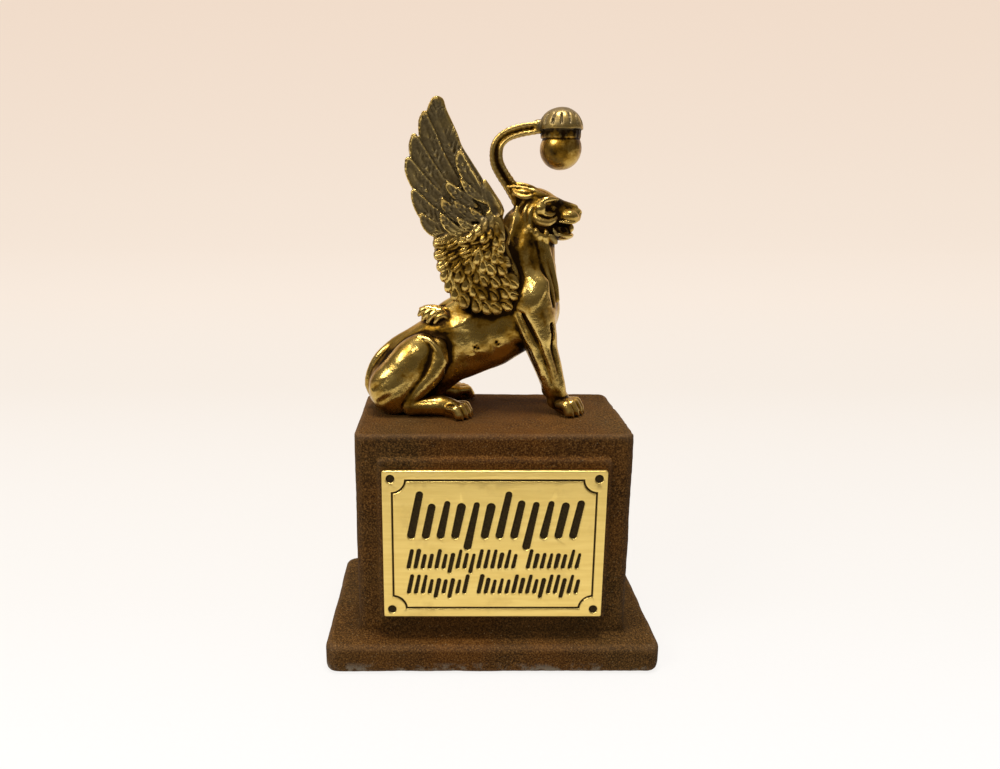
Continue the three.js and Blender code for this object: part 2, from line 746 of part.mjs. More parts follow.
function makePlinth() {
  const width = BODY_WIDTH + 2 * FLANGE_REACH_X;
  const depth = BODY_DEPTH + 2 * FLANGE_REACH_Y;
  const flange = block(width, depth, FLANGE_HEIGHT, FLANGE_CORNER, FLANGE_EDGE);
  const sunk = FLANGE_HEIGHT / 2;
  const body = block(BODY_WIDTH, BODY_DEPTH, PLINTH_HEIGHT - sunk, BODY_CORNER, BODY_TOP_EDGE);
  body.translate(0, 0, sunk);
  const embedded = 2 * PANEL_EDGE + 1;
  const panel = block(
    PLATE_WIDTH + 2 * PANEL_MARGIN,
    PLATE_HEIGHT + 2 * PANEL_MARGIN,
    PANEL_PROUD + embedded,
    PANEL_MARGIN,
    PANEL_EDGE,
  );
  facingFront(panel).translate(0, PANEL_FRONT + PANEL_PROUD + embedded, PLATE_MIDDLE_Z);
  return geometryOf(solidOf(flange).add(solidOf(body)).add(solidOf(panel)));
}

// The nameplate's engraved border: a frame whose corners are scooped inwards.
function scoopedRectangle(width, height, scoop) {
  const [x, y] = [width / 2, height / 2];
  const path = new THREE.Shape();
  path.moveTo(-x + scoop, -y);
  path.lineTo(x - scoop, -y);
  path.absarc(x, -y, scoop, Math.PI, Math.PI / 2, true);
  path.lineTo(x, y - scoop);
  path.absarc(x, y, scoop, 1.5 * Math.PI, Math.PI, true);
  path.lineTo(-x + scoop, y);
  path.absarc(-x, y, scoop, 0, -Math.PI / 2, true);
  path.lineTo(-x, -y + scoop);
  path.absarc(-x, -y, scoop, Math.PI / 2, 0, true);
  return path;
}

function makeNameplate() {
  const cutter = { depth: 2 * ENGRAVING_DEPTH, bevelEnabled: false, curveSegments: CURVE_SIDES };
  const face = PLATE_THICKNESS - ENGRAVING_DEPTH;
  let plate = solidOf(block(PLATE_WIDTH, PLATE_HEIGHT, PLATE_THICKNESS, PLATE_EDGE, PLATE_EDGE));
  const width = PLATE_WIDTH - 2 * BORDER_INSET;
  const height = PLATE_HEIGHT - 2 * BORDER_INSET;
  const border = scoopedRectangle(width, height, BORDER_SCOOP);
  const inner = scoopedRectangle(
    width - 2 * BORDER_LINE,
    height - 2 * BORDER_LINE,
    BORDER_SCOOP,
  );
  border.holes.push(inner);
  plate = plate.subtract(solidOf(new THREE.ExtrudeGeometry(border, cutter).translate(0, 0, face)));
  for (const x of [-1, 1]) {
    for (const y of [-1, 1]) {
      const dot = new THREE.CylinderGeometry(DOT_DIAMETER / 2, DOT_DIAMETER / 2, cutter.depth, 10);
      dot.rotateX(Math.PI / 2);
      const [right, up] = [PLATE_WIDTH / 2 - DOT_INSET, PLATE_HEIGHT / 2 - DOT_INSET];
      dot.translate(x * right, y * up, face + ENGRAVING_DEPTH);
      plate = plate.subtract(solidOf(dot));
    }
  }
  for (const row of STROKE_ROWS) {
    for (let n = 0; n < row.strokes; n++) {
      const x = ((n + 0.5) / row.strokes - 0.5) * row.width;
      const tall = row.height * (n % 5 === 0 ? 1 : 0.65 + 0.1 * (n % 3));
      const stroke = new THREE.BoxGeometry(row.thick, tall, cutter.depth);
      stroke.translate(0, (tall - row.height) / 2, face + ENGRAVING_DEPTH);
      const slant = new THREE.Matrix4().makeShear(0, 0, STROKE_SLANT, 0, 0, 0);
      stroke.applyMatrix4(slant).translate(x, row.middle, 0);
      plate = plate.subtract(solidOf(stroke));
    }
  }
  return facingFront(geometryOf(plate));
}

function mesh(name, geometry, color, roughness, metalness) {
  const material = new THREE.MeshStandardMaterial({ color, roughness, metalness });
  const made = new THREE.Mesh(geometry, material);
  made.name = name;
  return made;
}

const group = new THREE.Group();

const plinth = mesh("plinth", makePlinth(), 0x4a2a18, 0.9, 0);
group.add(plinth);

const nameplate = mesh("nameplate", makeNameplate(), 0xd9b45a, 0.35, 1);
nameplate.position.set(0, PANEL_FRONT, PLATE_MIDDLE_Z);
group.add(nameplate);

const griffin = mesh("griffin", makeFigure(), 0x9c7a34, 0.35, 1);
griffin.position.set(0, FIGURE_SET_BACK, PLINTH_HEIGHT);
group.add(griffin);

export default group;
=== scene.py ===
"""A small antiqued-brass griffin with a lamp, on a cast-stone plinth with an engraved nameplate.

Each piece is shaped as a grid of depths, whose zero surface becomes one mesh. The figure's grid is
in units of which it stands UNITS_TALL high, those of the plinth and the nameplate in millimetres.
"""
import math
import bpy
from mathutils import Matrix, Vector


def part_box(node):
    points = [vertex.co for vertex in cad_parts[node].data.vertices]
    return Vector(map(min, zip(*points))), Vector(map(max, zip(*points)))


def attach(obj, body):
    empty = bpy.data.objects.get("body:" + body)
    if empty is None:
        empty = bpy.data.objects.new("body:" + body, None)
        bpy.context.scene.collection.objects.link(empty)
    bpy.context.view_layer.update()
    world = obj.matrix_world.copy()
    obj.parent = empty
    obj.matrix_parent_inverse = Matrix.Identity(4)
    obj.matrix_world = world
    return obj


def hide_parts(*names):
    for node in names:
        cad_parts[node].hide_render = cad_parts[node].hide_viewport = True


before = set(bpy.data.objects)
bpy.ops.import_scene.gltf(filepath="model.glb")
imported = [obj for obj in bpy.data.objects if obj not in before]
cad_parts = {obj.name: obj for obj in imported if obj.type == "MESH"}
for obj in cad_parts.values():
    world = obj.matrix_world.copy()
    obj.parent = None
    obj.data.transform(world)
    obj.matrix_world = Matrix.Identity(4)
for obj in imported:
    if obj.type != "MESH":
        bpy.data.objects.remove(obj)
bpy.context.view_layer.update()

from types import SimpleNamespace

import bmesh
import bpy
import numpy as np
from mathutils import Matrix, Vector

MM = 0.001
UNITS_TALL = 57.6
FAR = 50.0
SIDES = (-1, 1)
SEED = 11

_, plinth_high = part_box("plinth")
plate_low, plate_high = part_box("nameplate")
figure_low, figure_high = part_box("griffin")
UNIT = (figure_high.z - figure_low.z) / UNITS_TALL
FIGURE_ORIGIN = (0.0, (figure_low.y + figure_high.y) / 2, figure_low.z)


# Depth fields

def soft_min(a, b, soft):
    """The lesser of two depths, rounded over a width of `soft` where they meet."""
    close = np.maximum(soft - np.abs(a - b), 0)
    return np.minimum(a, b) - close * close / (4 * soft)


def soft_max(a, b, soft):
    return -soft_min(-a, -b, soft)


class Casting:
    """A grid of depths: below zero inside the solid, above zero outside it."""

    def __init__(self, low, high, step):
        self.low = np.array(low, float)
        self.step = step
        self.size = np.ceil((np.array(high) - self.low) / step).astype(int) + 1
        self.depths = np.full(self.size, FAR, np.float32)

    def window(self, low, high, margin):
        """The grid cells inside a box, and their x, y and z as open grids."""
        reach = margin + 2 * self.step
        first = np.floor((np.array(low) - reach - self.low) / self.step).astype(int)
        last = np.ceil((np.array(high) + reach - self.low) / self.step).astype(int) + 1
        first = np.clip(first, 0, self.size)
        last = np.clip(last, 0, self.size)
        cells = tuple(slice(a, b) for a, b in zip(first, last))
        x, y, z = (
            (self.low[i] + self.step * np.arange(first[i], last[i])).astype(np.float32)
            for i in range(3)
        )
        return cells, x[:, None, None], y[None, :, None], z[None, None, :]

    def everywhere(self):
        """The x, y and z of every cell as open grids."""
        return self.window(self.low, self.low + self.size * self.step, 0)[1:]

    def along(self, axis):
        """The places of the cells along one axis."""
        return self.low[axis] + self.step * np.arange(self.size[axis])

    def field(self, shapes, margin):
        """The cells around some shapes, and the depth of the nearest shape in each."""
        low = np.min([shape.low for shape in shapes], axis=0)
        high = np.max([shape.high for shape in shapes], axis=0)
        outer = self.window(low, high, margin)[0]
        depths = np.full([cells.stop - cells.start for cells in outer], FAR, np.float32)
        for shape in shapes:
            inner, x, y, z = self.window(shape.low, shape.high, margin)
            cells = tuple(slice(a.start - b.start, a.stop - b.start) for a, b in zip(inner, outer))
            depths[cells] = np.minimum(depths[cells], shape.depth(x, y, z))
        return outer, depths

    def join(self, shapes, soft):
        cells, depths = self.field(shapes, soft)
        self.depths[cells] = soft_min(self.depths[cells], depths, soft)

    def cut(self, shapes, soft):
        cells, depths = self.field(shapes, soft)
        self.depths[cells] = soft_max(self.depths[cells], -depths, soft)


def limb(start, end, flat=1.0):
    """A tapered limb with round ends, each [x, y, z, radius]; `flat` is its sideways width as a
    share of its width in side view."""
    start = np.array(start, float)
    along = np.array(end, float) - start
    square = float((along[:3] ** 2).sum())
    widest = max(start[3], end[3])
    corners = np.array([start[:3], np.array(end)[:3]])

    def depth(x, y, z):
        px, py, pz = x - start[0], y - start[1], z - start[2]
        t = np.clip((px * along[0] + py * along[1] + pz * along[2]) / square, 0, 1)
        dx, dy, dz = px - along[0] * t, (py - along[1] * t) / flat, pz - along[2] * t
        return np.sqrt(dx * dx + dy * dy + dz * dz) - (start[3] + along[3] * t)

    return [SimpleNamespace(low=corners.min(0) - widest, high=corners.max(0) + widest, depth=depth)]


def chain(stations, flat=1.0):
    return [limb(a, b, flat)[0] for a, b in zip(stations, stations[1:])]


def curve(stations, count):
    """Stations spread evenly along a smooth curve through the given ones."""
    points = np.array(stations, float)
    ends = np.vstack([2 * points[0] - points[1], points, 2 * points[-1] - points[-2]])
    made = []
    for share in np.linspace(0, len(points) - 1, count):
        i = min(int(share), len(points) - 2)
        t = share - i
        a, b, c, d = ends[i:i + 4]
        made.append(
            0.5 * (2 * b + (c - a) * t + (2 * a - 5 * b + 4 * c - d) * t ** 2
                   + (3 * b - a - 3 * c + d) * t ** 3)
        )
    return made


def on_side(stations, side, forward=0.0):
    """Stations on one side of the figure: y is given as a distance from the middle."""
    return [(x + forward, side * y, z, r) for x, y, z, r in stations]


def egg(centre, radii, tilt=0.0):
    """An ellipsoid, tilted in side view by so many degrees."""
    cos, sin = math.cos(math.radians(tilt)), math.sin(math.radians(tilt))
    widest = max(radii)

    def depth(x, y, z):
        dx, dy, dz = x - centre[0], y - centre[1], z - centre[2]
        px = (dx * cos + dz * sin) / radii[0]
        py = dy / radii[1]
        pz = (dz * cos - dx * sin) / radii[2]
        length = np.sqrt(px * px + py * py + pz * pz)
        slope = np.sqrt((px / radii[0]) ** 2 + (py / radii[1]) ** 2 + (pz / radii[2]) ** 2)
        return length * (length - 1) / np.maximum(slope, 1e-6)

    centre = np.array(centre, float)
    return [SimpleNamespace(low=centre - widest, high=centre + widest, depth=depth)]


def pad(top, facing, wide, thick, side):
    """A round cushion on one side of the figure, with the place of its top and where that faces."""
    axis = np.array(facing, float) * (1, side, 1)
    axis /= np.linalg.norm(axis)
    centre = np.array(top, float) * (1, side, 1) - axis * thick

    def depth(x, y, z):
        dx, dy, dz = x - centre[0], y - centre[1], z - centre[2]
        along = dx * axis[0] + dy * axis[1] + dz * axis[2]
        away = np.sqrt(np.maximum(dx * dx + dy * dy + dz * dz - along * along, 0))
        length = np.hypot(away / wide, along / thick)
        slope = np.hypot(away / wide ** 2, along / thick ** 2)
        return length * (length - 1) / np.maximum(slope, 1e-6)

    return [SimpleNamespace(low=centre - wide, high=centre + wide, depth=depth)]


def lumps(casting, size, seed):
    """Smooth noise between -1 and 1 over a casting's grid, in lumps of about this size."""
    hand = np.random.default_rng(seed)
    spans = [int(n * casting.step / size) + 3 for n in casting.size]
    values = hand.uniform(-1, 1, spans).astype(np.float32)
    for axis in range(3):
        at = np.arange(casting.size[axis]) * casting.step / size
        cell = at.astype(int)
        share = (at - cell).astype(np.float32)
        share = share * share * (3 - 2 * share)
        share = share.reshape([-1 if a == axis else 1 for a in range(3)])
        values = values.take(cell, axis) * (1 - share) + values.take(cell + 1, axis) * share
    return values


def roughen(casting, sizes):
    """Raises and lowers a casting's surface in lumps, each given as how high and how wide."""
    casting.depths += sum(
        height * lumps(casting, width, SEED + number) for number, (height, width) in enumerate(sizes)
    )


# Ways of working a form into the figure

def ridge(casting, side, soft, *stations):
    casting.join(chain(curve(on_side(stations, side), 3 * len(stations))), soft)


def groove(casting, side, soft, *stations):
    casting.cut(chain(curve(on_side(stations, side), 3 * len(stations))), soft)


def bar(casting, side, soft, flat, *stations):
    casting.join(chain(on_side(stations, side), flat), soft)


def notch(casting, side, soft, flat, *stations):
    casting.cut(chain(on_side(stations, side), flat), soft)


def swell(casting, side, soft, centre, radii, tilt=0.0):
    x, y, z = centre
    casting.join(egg((x, side * y, z), radii, tilt), soft)


def pit(casting, side, soft, centre, radii):
    x, y, z = centre
    casting.cut(egg((x, side * y, z), radii), soft)


def cushion(casting, side, soft, *shape):
    casting.join(pad(*shape, side), soft)


def model(casting, forms, side=1):
    """Works forms into one side of the figure, each given as the way, how softly, and its places.

    A place is x, y as a distance from the middle, and z; a station along a form has a radius too.
    """
    for work, soft, *places in forms:
        work(casting, side, soft, *places)


# The griffin's body

TRUNK = ((-16.6, 0, 4.8, 7.6), (-14.2, 0, 8.3, 7.3), (-8.8, 0, 12.0, 7.1), (-0.5, 0, 15.6, 7.5),
         (5.8, 0, 19.8, 7.6), (5.7, 0, 26.8, 6.7), (6.8, 0, 34.4, 5.1))
TRUNK_FLAT = 0.68
CHEST = ((7.6, 3.1, 20.8), (4.2, 2.6, 6.8), -8)
LOIN = ((-7.0, 2.9, 19.5), (-0.42, 0.58, 0.70), 3.2, 0.9)
HAUNCH = (
    (swell, 0.8, (-15.9, 4.5, 8.3), (8.2, 3.5, 4.7), 57),
    (swell, 1.8, (-19.0, 4.7, 4.7), (4.2, 3.3, 4.9), 30),
)
SHIN = ((-10.4, 5.0, 13.0, 2.0), (-10.1, 5.7, 10.6, 2.0), (-11.0, 6.1, 8.3, 1.9),
        (-12.8, 6.2, 6.0, 1.75), (-14.8, 6.2, 3.9, 1.7), (-15.6, 6.2, 2.4, 1.7))
SHIN_FLAT = 0.95
HIND_FOOT = ((-15.4, 6.2, 2.0, 1.8), (-12.6, 6.2, 2.05, 1.8), (-9.9, 6.2, 2.1, 1.95),
             (-7.6, 6.2, 1.6, 1.7))
FORELEG = ((7.6, 3.3, 20.0, 3.8), (9.1, 3.6, 14.4, 3.2), (10.5, 3.9, 10.4, 2.7),
           (11.7, 4.1, 7.0, 2.35), (12.5, 4.3, 4.5, 2.05), (13.4, 4.4, 2.3, 1.5))
FORELEG_FLAT = 0.86
HEEL = ((12.3, 4.3, 2.4), (1.4, 1.3, 1.5))
# How far the far hind leg stands ahead of the near one.
HIND_STRIDE = 0.8
# A paw: x and y of its ankle, its size, its reach in sizes, and how many degrees it splays.
HIND_PAW = (-8.1, 6.2, 1.1, 3.9, 32)
FOREPAWS = {-1: (14.0, 4.5, 1.2, 2.9, 38), 1: (13.9, 4.5, 1.1, 2.0, 18)}
TOES = (-1.65, -0.55, 0.55, 1.65)


def paw(x, y, size, reach, splay):
    """A paw whose ankle stands at (x, y): its pad and toes, to join softly, and its claws."""
    angle = math.radians(splay) * math.copysign(1, y)
    cos, sin = math.cos(angle), math.sin(angle)

    def station(ahead, across, z, radius):
        return (x + size * (ahead * cos - across * sin), y + size * (ahead * sin + across * cos),
                size * z, size * radius)

    joined = limb(station(0, 0, 1.4, 1.6), station(reach - 2.2, 0, 1.2, 1.6))
    claws = []
    for toe in TOES:
        end = reach - abs(toe) * 0.3
        joined += chain([
            station(end - 2.5, toe * 0.8, 1.8, 0.7),
            station(end - 1.0, toe, 1.85, 0.78),
            station(end - 0.4, toe, 0.9, 0.78),
        ])
        claws += limb(station(end + 0.2, toe, 0.8, 0.24), station(end + 0.5, toe, 0.25, 0.12))
    return joined, claws


def make_body(casting):
    casting.join(chain(TRUNK, TRUNK_FLAT), 1.5)
    for side in SIDES:
        stride = 0 if side < 0 else HIND_STRIDE
        model(casting, HAUNCH, side)
        casting.join(chain(curve(on_side(SHIN, side, stride), 11), SHIN_FLAT), 0.4)
        casting.join(chain(curve(on_side(HIND_FOOT, side, stride), 7)), 0.3)
        swell(casting, side, 1.5, *CHEST)
        casting.join(chain(curve(on_side(FORELEG, side), 10), FORELEG_FLAT), 1.2)
        cushion(casting, side, 2.8, *LOIN)
        make_flank(casting, side)
        make_thigh(casting, side, stride)
        model(casting, SHOULDER, side)
        model(casting, NECK, side)
        swell(casting, side, 0.9, *HEEL)
        for (x, y, size, reach, splay), ahead in ((HIND_PAW, stride), (FOREPAWS[side], 0)):
            joined, claws = paw(x + ahead, side * y, size, reach, splay)
            casting.join(joined, 0.25)
            casting.join(claws, 0.1)


# The ribs and the furrows between them, as x and z, and the wavy edge over the tucked-in belly.
RIBS = ((-5.8, 13.5), (-2.2, 13.7), (1.4, 15.0), (4.6, 16.4))
FURROWS = ((-4.0, 11.9), (-0.4, 12.6), (3.2, 14.0))
BELLY_EDGE = ((-8.0, 5.9, 9.0, 0.8), (-4.8, 5.7, 9.4, 1.3), (-1.0, 5.6, 9.6, 1.4), (2.6, 5.6, 11.0, 1.3),
              (5.4, 5.7, 12.6, 0.7))


def make_flank(casting, side):
    for x, z in RIBS:
        swell(casting, side, 1.1, (x, 3.8, z), (1.9, 1.25, 2.3), 20)
    groove(casting, side, 0.9, *BELLY_EDGE)
    for x, z in FURROWS:
        groove(casting, side, 0.7, (x + 0.3, 5.3, z, 0.3), (x - 0.2, 5.7, z + 1.6, 0.3),
               (x - 1.1, 6.0, z + 4.4, 0.2))


# Small holes that the casting left in the near flank: x, z and radius.
PITS = ((-3.1, 13.1, 0.26), (-2.5, 12.9, 0.2), (-2.8, 13.5, 0.17), (0.9, 14.1, 0.26), (1.3, 13.6, 0.22))
FLANK_Y = 5.15
PIT_DEPTH = 0.25


def make_pits(casting):
    for x, z, radius in PITS:
        notch(casting, -1, 0.1, 1.0, (x, FLANK_Y + 0.6, z, radius), (x, FLANK_Y - PIT_DEPTH, z, radius))


# The fold behind the shin: the part that moves with the far leg's stride, and its lower end.
SHIN_FOLD = ((-10.6, 6.9, 14.2, 0.4), (-11.9, 8.0, 11.4, 0.5), (-12.8, 8.4, 8.8, 0.55),
             (-14.4, 8.5, 6.3, 0.55))
SHIN_FOLD_END = ((-16.4, 8.4, 3.6, 0.5), (-17.2, 7.8, 1.4, 0.4))
THIGH = (
    (groove, 0.8, (-22.6, 6.9, 5.6, 0.3), (-20.4, 8.3, 7.3, 0.35), (-17.7, 8.8, 8.9, 0.35),
     (-15.4, 8.4, 11.4, 0.25)),
    (groove, 0.8, (-21.4, 7.4, 2.9, 0.3), (-19.0, 8.7, 4.5, 0.3), (-16.6, 8.7, 6.1, 0.3),
     (-15.0, 8.6, 8.0, 0.2)),
    (ridge, 0.4, (-13.8, 5.4, 15.4, 0.3), (-11.6, 6.3, 14.6, 0.5), (-10.0, 6.8, 12.8, 0.5),
     (-9.2, 7.0, 11.4, 0.3)),
)


def make_thigh(casting, side, stride):
    """The fold behind the shin, two furrows over the thigh, and the knee."""
    groove(casting, side, 0.5, *on_side(SHIN_FOLD, 1, stride), *SHIN_FOLD_END)
    model(casting, THIGH, side)


# The muscles from neck to foreleg, the shoulder blade's edge, and the foreleg's tendons.
SHOULDER = (
    (bar, 2.0, 1.0, (5.6, 2.2, 31.0, 2.0), (7.0, 2.8, 25.4, 2.4), (8.4, 3.3, 20.4, 2.5),
     (9.4, 3.5, 15.4, 2.3)),
    (cushion, 2.6, (6.3, 5.2, 24.9), (-0.38, 0.84, 0.40), 3.1, 0.9),
    (bar, 2.0, 1.0, (7.0, 3.9, 22.4, 2.2), (8.0, 4.1, 19.6, 2.1), (9.2, 3.9, 15.0, 1.9)),
    (ridge, 0.4, (4.2, 5.2, 20.4, 0.3), (5.3, 5.6, 17.6, 0.4), (6.4, 5.6, 15.1, 0.42),
     (7.5, 5.7, 13.3, 0.42), (8.6, 5.6, 10.8, 0.4), (9.6, 5.3, 8.0, 0.38), (10.2, 5.0, 5.4, 0.25)),
    (groove, 0.5, (5.8, 6.0, 19.6, 0.3), (7.4, 6.5, 16.2, 0.45), (8.9, 6.5, 13.2, 0.5),
     (10.3, 6.4, 9.8, 0.45), (11.3, 6.3, 6.4, 0.3)),
    (ridge, 0.5, (8.9, 5.6, 18.0, 0.3), (9.5, 5.9, 14.6, 0.5), (10.8, 5.9, 11.2, 0.5),
     (12.0, 5.8, 8.0, 0.4), (12.7, 5.6, 5.4, 0.3)),
    (groove, 0.6, (11.0, 5.2, 17.6, 0.4), (11.3, 5.6, 13.8, 0.4), (12.4, 5.9, 10.0, 0.35),
     (13.6, 6.0, 6.6, 0.3)),
    (groove, 0.8, (8.9, 6.0, 21.0, 0.3), (9.9, 5.6, 18.8, 0.35), (10.8, 5.4, 16.6, 0.3)),
    (notch, 0.25, 1.0, (10.4, 6.2, 4.3, 0.2), (14.6, 6.1, 4.6, 0.2)),
)
# The neck's back, the hollow below the jaw, and the folds that run down to the breast.
NECK = (
    (bar, 1.0, 1.0, (4.1, 1.9, 36.6, 1.0), (3.8, 2.5, 31.4, 1.8)),
    (groove, 1.4, (5.6, 6.5, 33.6, 1.3), (7.2, 6.5, 31.0, 2.1), (9.2, 6.4, 29.2, 2.3),
     (12.0, 6.0, 28.4, 2.0)),
    (ridge, 0.6, (4.5, 1.8, 39.0, 0.2), (4.2, 2.4, 37.4, 0.35), (3.6, 3.1, 35.2, 0.45),
     (3.1, 3.8, 32.8, 0.45), (3.6, 4.3, 30.0, 0.3)),
    (ridge, 1.2, (6.0, 3.1, 33.9, 0.4), (5.7, 3.6, 32.0, 0.8), (5.5, 3.9, 29.8, 0.9),
     (6.4, 4.3, 27.4, 0.6)),
    (groove, 0.7, (8.2, 3.7, 32.6, 0.3), (9.0, 3.9, 29.6, 0.35), (9.9, 4.2, 26.8, 0.35),
     (10.9, 4.5, 23.8, 0.3), (11.5, 4.7, 21.0, 0.25)),
    (ridge, 0.45, (10.0, 2.4, 32.0, 0.5), (11.1, 2.5, 28.6, 0.55), (11.9, 2.7, 25.2, 0.55),
     (12.5, 2.9, 21.8, 0.4)),
)


# The tail runs up the spine, and its tuft of locks lies back over the haunch.
TAIL = ((-20.6, -0.6, 0.8, 1.0), (-23.6, -0.6, 4.6, 0.95), (-22.5, -0.6, 9.2, 0.9),
        (-19.2, -0.6, 12.9, 0.85), (-14.0, -0.6, 16.0, 0.8), (-9.6, -0.8, 18.2, 0.8), (-7.2, -1.6, 18.9, 0.8))
TUFT_Y = -2.2
# The locks on each face of the tuft, in side view: x, z and radius.
TUFT = (
    ((-8.2, 18.3, 0.4), (-9.0, 19.0, 0.6), (-10.0, 18.6, 0.6), (-10.7, 17.6, 0.35)),
    ((-8.6, 19.1, 0.4), (-9.8, 19.7, 0.65), (-11.2, 19.0, 0.65), (-12.0, 17.7, 0.4)),
    ((-9.2, 19.7, 0.4), (-10.9, 20.0, 0.6), (-12.3, 19.2, 0.6), (-13.0, 18.1, 0.4)),
    ((-10.0, 20.0, 0.4), (-11.9, 20.2, 0.55), (-13.1, 19.8, 0.55), (-13.8, 18.9, 0.35)),
)
TUFT_CROWN = ((-9.0, TUFT_Y, 19.8, 0.5), (-11.2, TUFT_Y, 20.3, 0.55), (-13.4, TUFT_Y, 20.0, 0.4))


def make_tail(casting):
    casting.join(chain(curve(TAIL, 24)), 0.3)
    swell(casting, 1, 0.3, (-11.0, TUFT_Y, 18.8), (2.6, 1.5, 1.2), -8)
    for face in SIDES:
        for lock, stations in enumerate(TUFT):
            y = TUFT_Y + face * (1.5 - 0.28 * lock)
            casting.join(chain(curve([(x, y, z, r) for x, z, r in stations], 10)), 0.12)
    casting.join(chain(curve(TUFT_CROWN, 8)), 0.12)


# Wings, as plates that lean outwards and carry the feathers as relief

# The feathers point away from the shoulder.
SHOULDER_X = 1.5
SHOULDER_Z = 33.0
WING_ROOT_Y = 4.7
WING_ROOT_Z = 20.0
WING_LEAN = math.tan(math.radians(6.5))
WING_SWEEP = 0.05
WING_PLATE = 0.75
WING_FOOT_Z = 19.0

# Feathers in side view, each a smooth curve from its tip to its root: x, z and half width.
PRIMARIES = (
    ((-10.1, 56.3, 1.3), (-10.2, 54.8, 1.8), (-9.6, 53.0, 2.05), (-8.5, 50.6, 2.15), (-7.5, 48.6, 1.95),
     (-6.2, 46.4, 2.0), (-4.6, 44.0, 2.0), (-1.0, 39.0, 1.8)),
    ((-12.3, 54.6, 0.6), (-12.3, 53.2, 1.15), (-11.7, 51.0, 1.6), (-10.7, 48.3, 1.7), (-9.0, 45.2, 1.7),
     (-6.5, 41.5, 1.6), (-3.5, 38.0, 1.5)),
    ((-14.1, 50.9, 0.6), (-13.8, 49.3, 1.3), (-12.9, 47.1, 1.7), (-11.3, 44.6, 1.75), (-9.0, 41.7, 1.7),
     (-5.5, 38.0, 1.6), (-2.5, 35.5, 1.4)),
    ((-15.1, 46.9, 0.7), (-14.5, 45.2, 1.35), (-13.2, 43.1, 1.7), (-11.2, 41.0, 1.75), (-8.5, 38.7, 1.7),
     (-5.0, 36.0, 1.5)),
    ((-14.2, 41.5, 0.7), (-13.4, 40.0, 1.3), (-12.1, 38.2, 1.7), (-10.0, 36.6, 1.8), (-7.0, 35.0, 1.7),
     (-4.0, 34.0, 1.5)),
    ((-12.9, 37.6, 0.5), (-12.1, 36.4, 1.1), (-10.7, 35.2, 1.4), (-8.0, 34.3, 1.4), (-5.0, 33.5, 1.3)),
)
SHOULDER_WEB = ((-4.5, 43.5, 0.9), (-1.5, 40.3, 2.0), (0.3, 37.0, 2.0), (0.6, 34.0, 2.0))
SECONDARIES = (
    ((-6.1, 48.7, 0.25), (-6.1, 47.3, 0.95), (-5.3, 45.3, 1.25), (-3.9, 43.3, 1.15), (-2.6, 41.6, 0.7),
     (-1.9, 40.6, 0.2)),
    ((-8.4, 43.5, 0.2), (-7.9, 42.5, 0.8), (-6.6, 41.3, 1.05), (-5.0, 40.1, 0.95), (-3.3, 39.2, 0.4)),
    ((-6.0, 43.8, 0.2), (-5.3, 42.9, 0.6), (-4.3, 41.8, 0.8), (-3.0, 40.8, 0.7), (-1.6, 39.8, 0.3)),
    ((-9.3, 40.6, 0.2), (-8.8, 39.5, 0.8), (-7.6, 38.3, 1.05), (-6.0, 37.1, 1.0), (-4.3, 36.2, 0.4)),
    ((-7.1, 40.0, 0.2), (-6.3, 39.2, 0.65), (-5.1, 38.2, 0.85), (-3.7, 37.3, 0.75), (-2.2, 36.6, 0.3)),
    ((-9.6, 38.0, 0.2), (-9.1, 37.1, 0.7), (-8.2, 35.9, 1.0), (-6.8, 34.9, 0.95), (-5.0, 34.4, 0.5)),
    ((-6.6, 37.2, 0.2), (-5.9, 36.5, 0.6), (-4.8, 35.7, 0.8), (-3.4, 35.0, 0.7), (-2.0, 34.6, 0.3)),
    ((-4.4, 38.9, 0.2), (-3.6, 38.1, 0.6), (-2.6, 37.3, 0.7), (-1.4, 36.6, 0.3)),
)
# The plain bed beneath the small curled feathers, as the corners of its outline.
COVERT_BED = (
    (-10.4, 33.4), (-10.2, 29.6), (-9.2, 26.6), (-7.5, 23.6), (-6.3, 22.1), (-4.6, 21.0), (-2.2, 20.3),
    (0.8, 20.1), (3.0, 20.7), (4.3, 21.7), (4.8, 23.7), (4.4, 26.6), (2.9, 29.0), (1.9, 32.3), (1.5, 35.2),
    (-1.6, 35.4), (-3.6, 34.2),
)
# How far from the shoulder the small feathers reach, at these angles.
COVERT_ANGLES = (180, 195, 209, 226, 240, 254, 268, 278, 285, 290)
COVERT_REACH = (12.5, 12.7, 12.9, 13.9, 14.2, 13.9, 13.6, 13.1, 12.1, 9.9)
# Each row: its share of that reach, its first and last angle, and the size of its feathers.
COVERT_ROWS = (
    (1.0, 181, 287, 1.12),
    (0.82, 180, 291, 1.1),
    (0.645, 179, 292, 1.06),
    (0.475, 176, 294, 1.0),
    (0.315, 170, 296, 0.92),
    (0.165, 168, 300, 0.82),
)
COVERT_SPACING = 2.0
COVERT_SHAPE = ((0.95, 0, 1.0), (1.75, 8, 1.14), (2.7, 20, 1.05), (3.5, 34, 0.8))
# The curls above the shoulder: x and z of the tip, and where it points.
SHOULDER_CURLS = (
    (-5.2, 33.4, 195), (-3.6, 34.3, 203), (-2.2, 35.2, 212), (-0.9, 35.6, 226), (-2.6, 32.9, 212),
    (-1.2, 33.6, 224), (0.2, 34.2, 240), (0.0, 32.1, 240), (1.1, 33.0, 252),
)
CURL_SIZE = 0.84
# The wing's front edge as x and z, and how far dirt and painted shade spread from the gaps between small
# feathers.
WING_FRONT = ((5.0, 19.0), (5.0, 23.8), (4.6, 26.7), (3.1, 29.0), (2.1, 32.4), (1.8, 35.2), (1.5, 37.2),
              (2.2, 39.1), (0.9, 41.9), (-0.6, 43.8), (-4.0, 48.0), (-6.0, 60.0))
GAP_DIRT_AND_SHADE = 0.32
FEATHER_REACH = 4


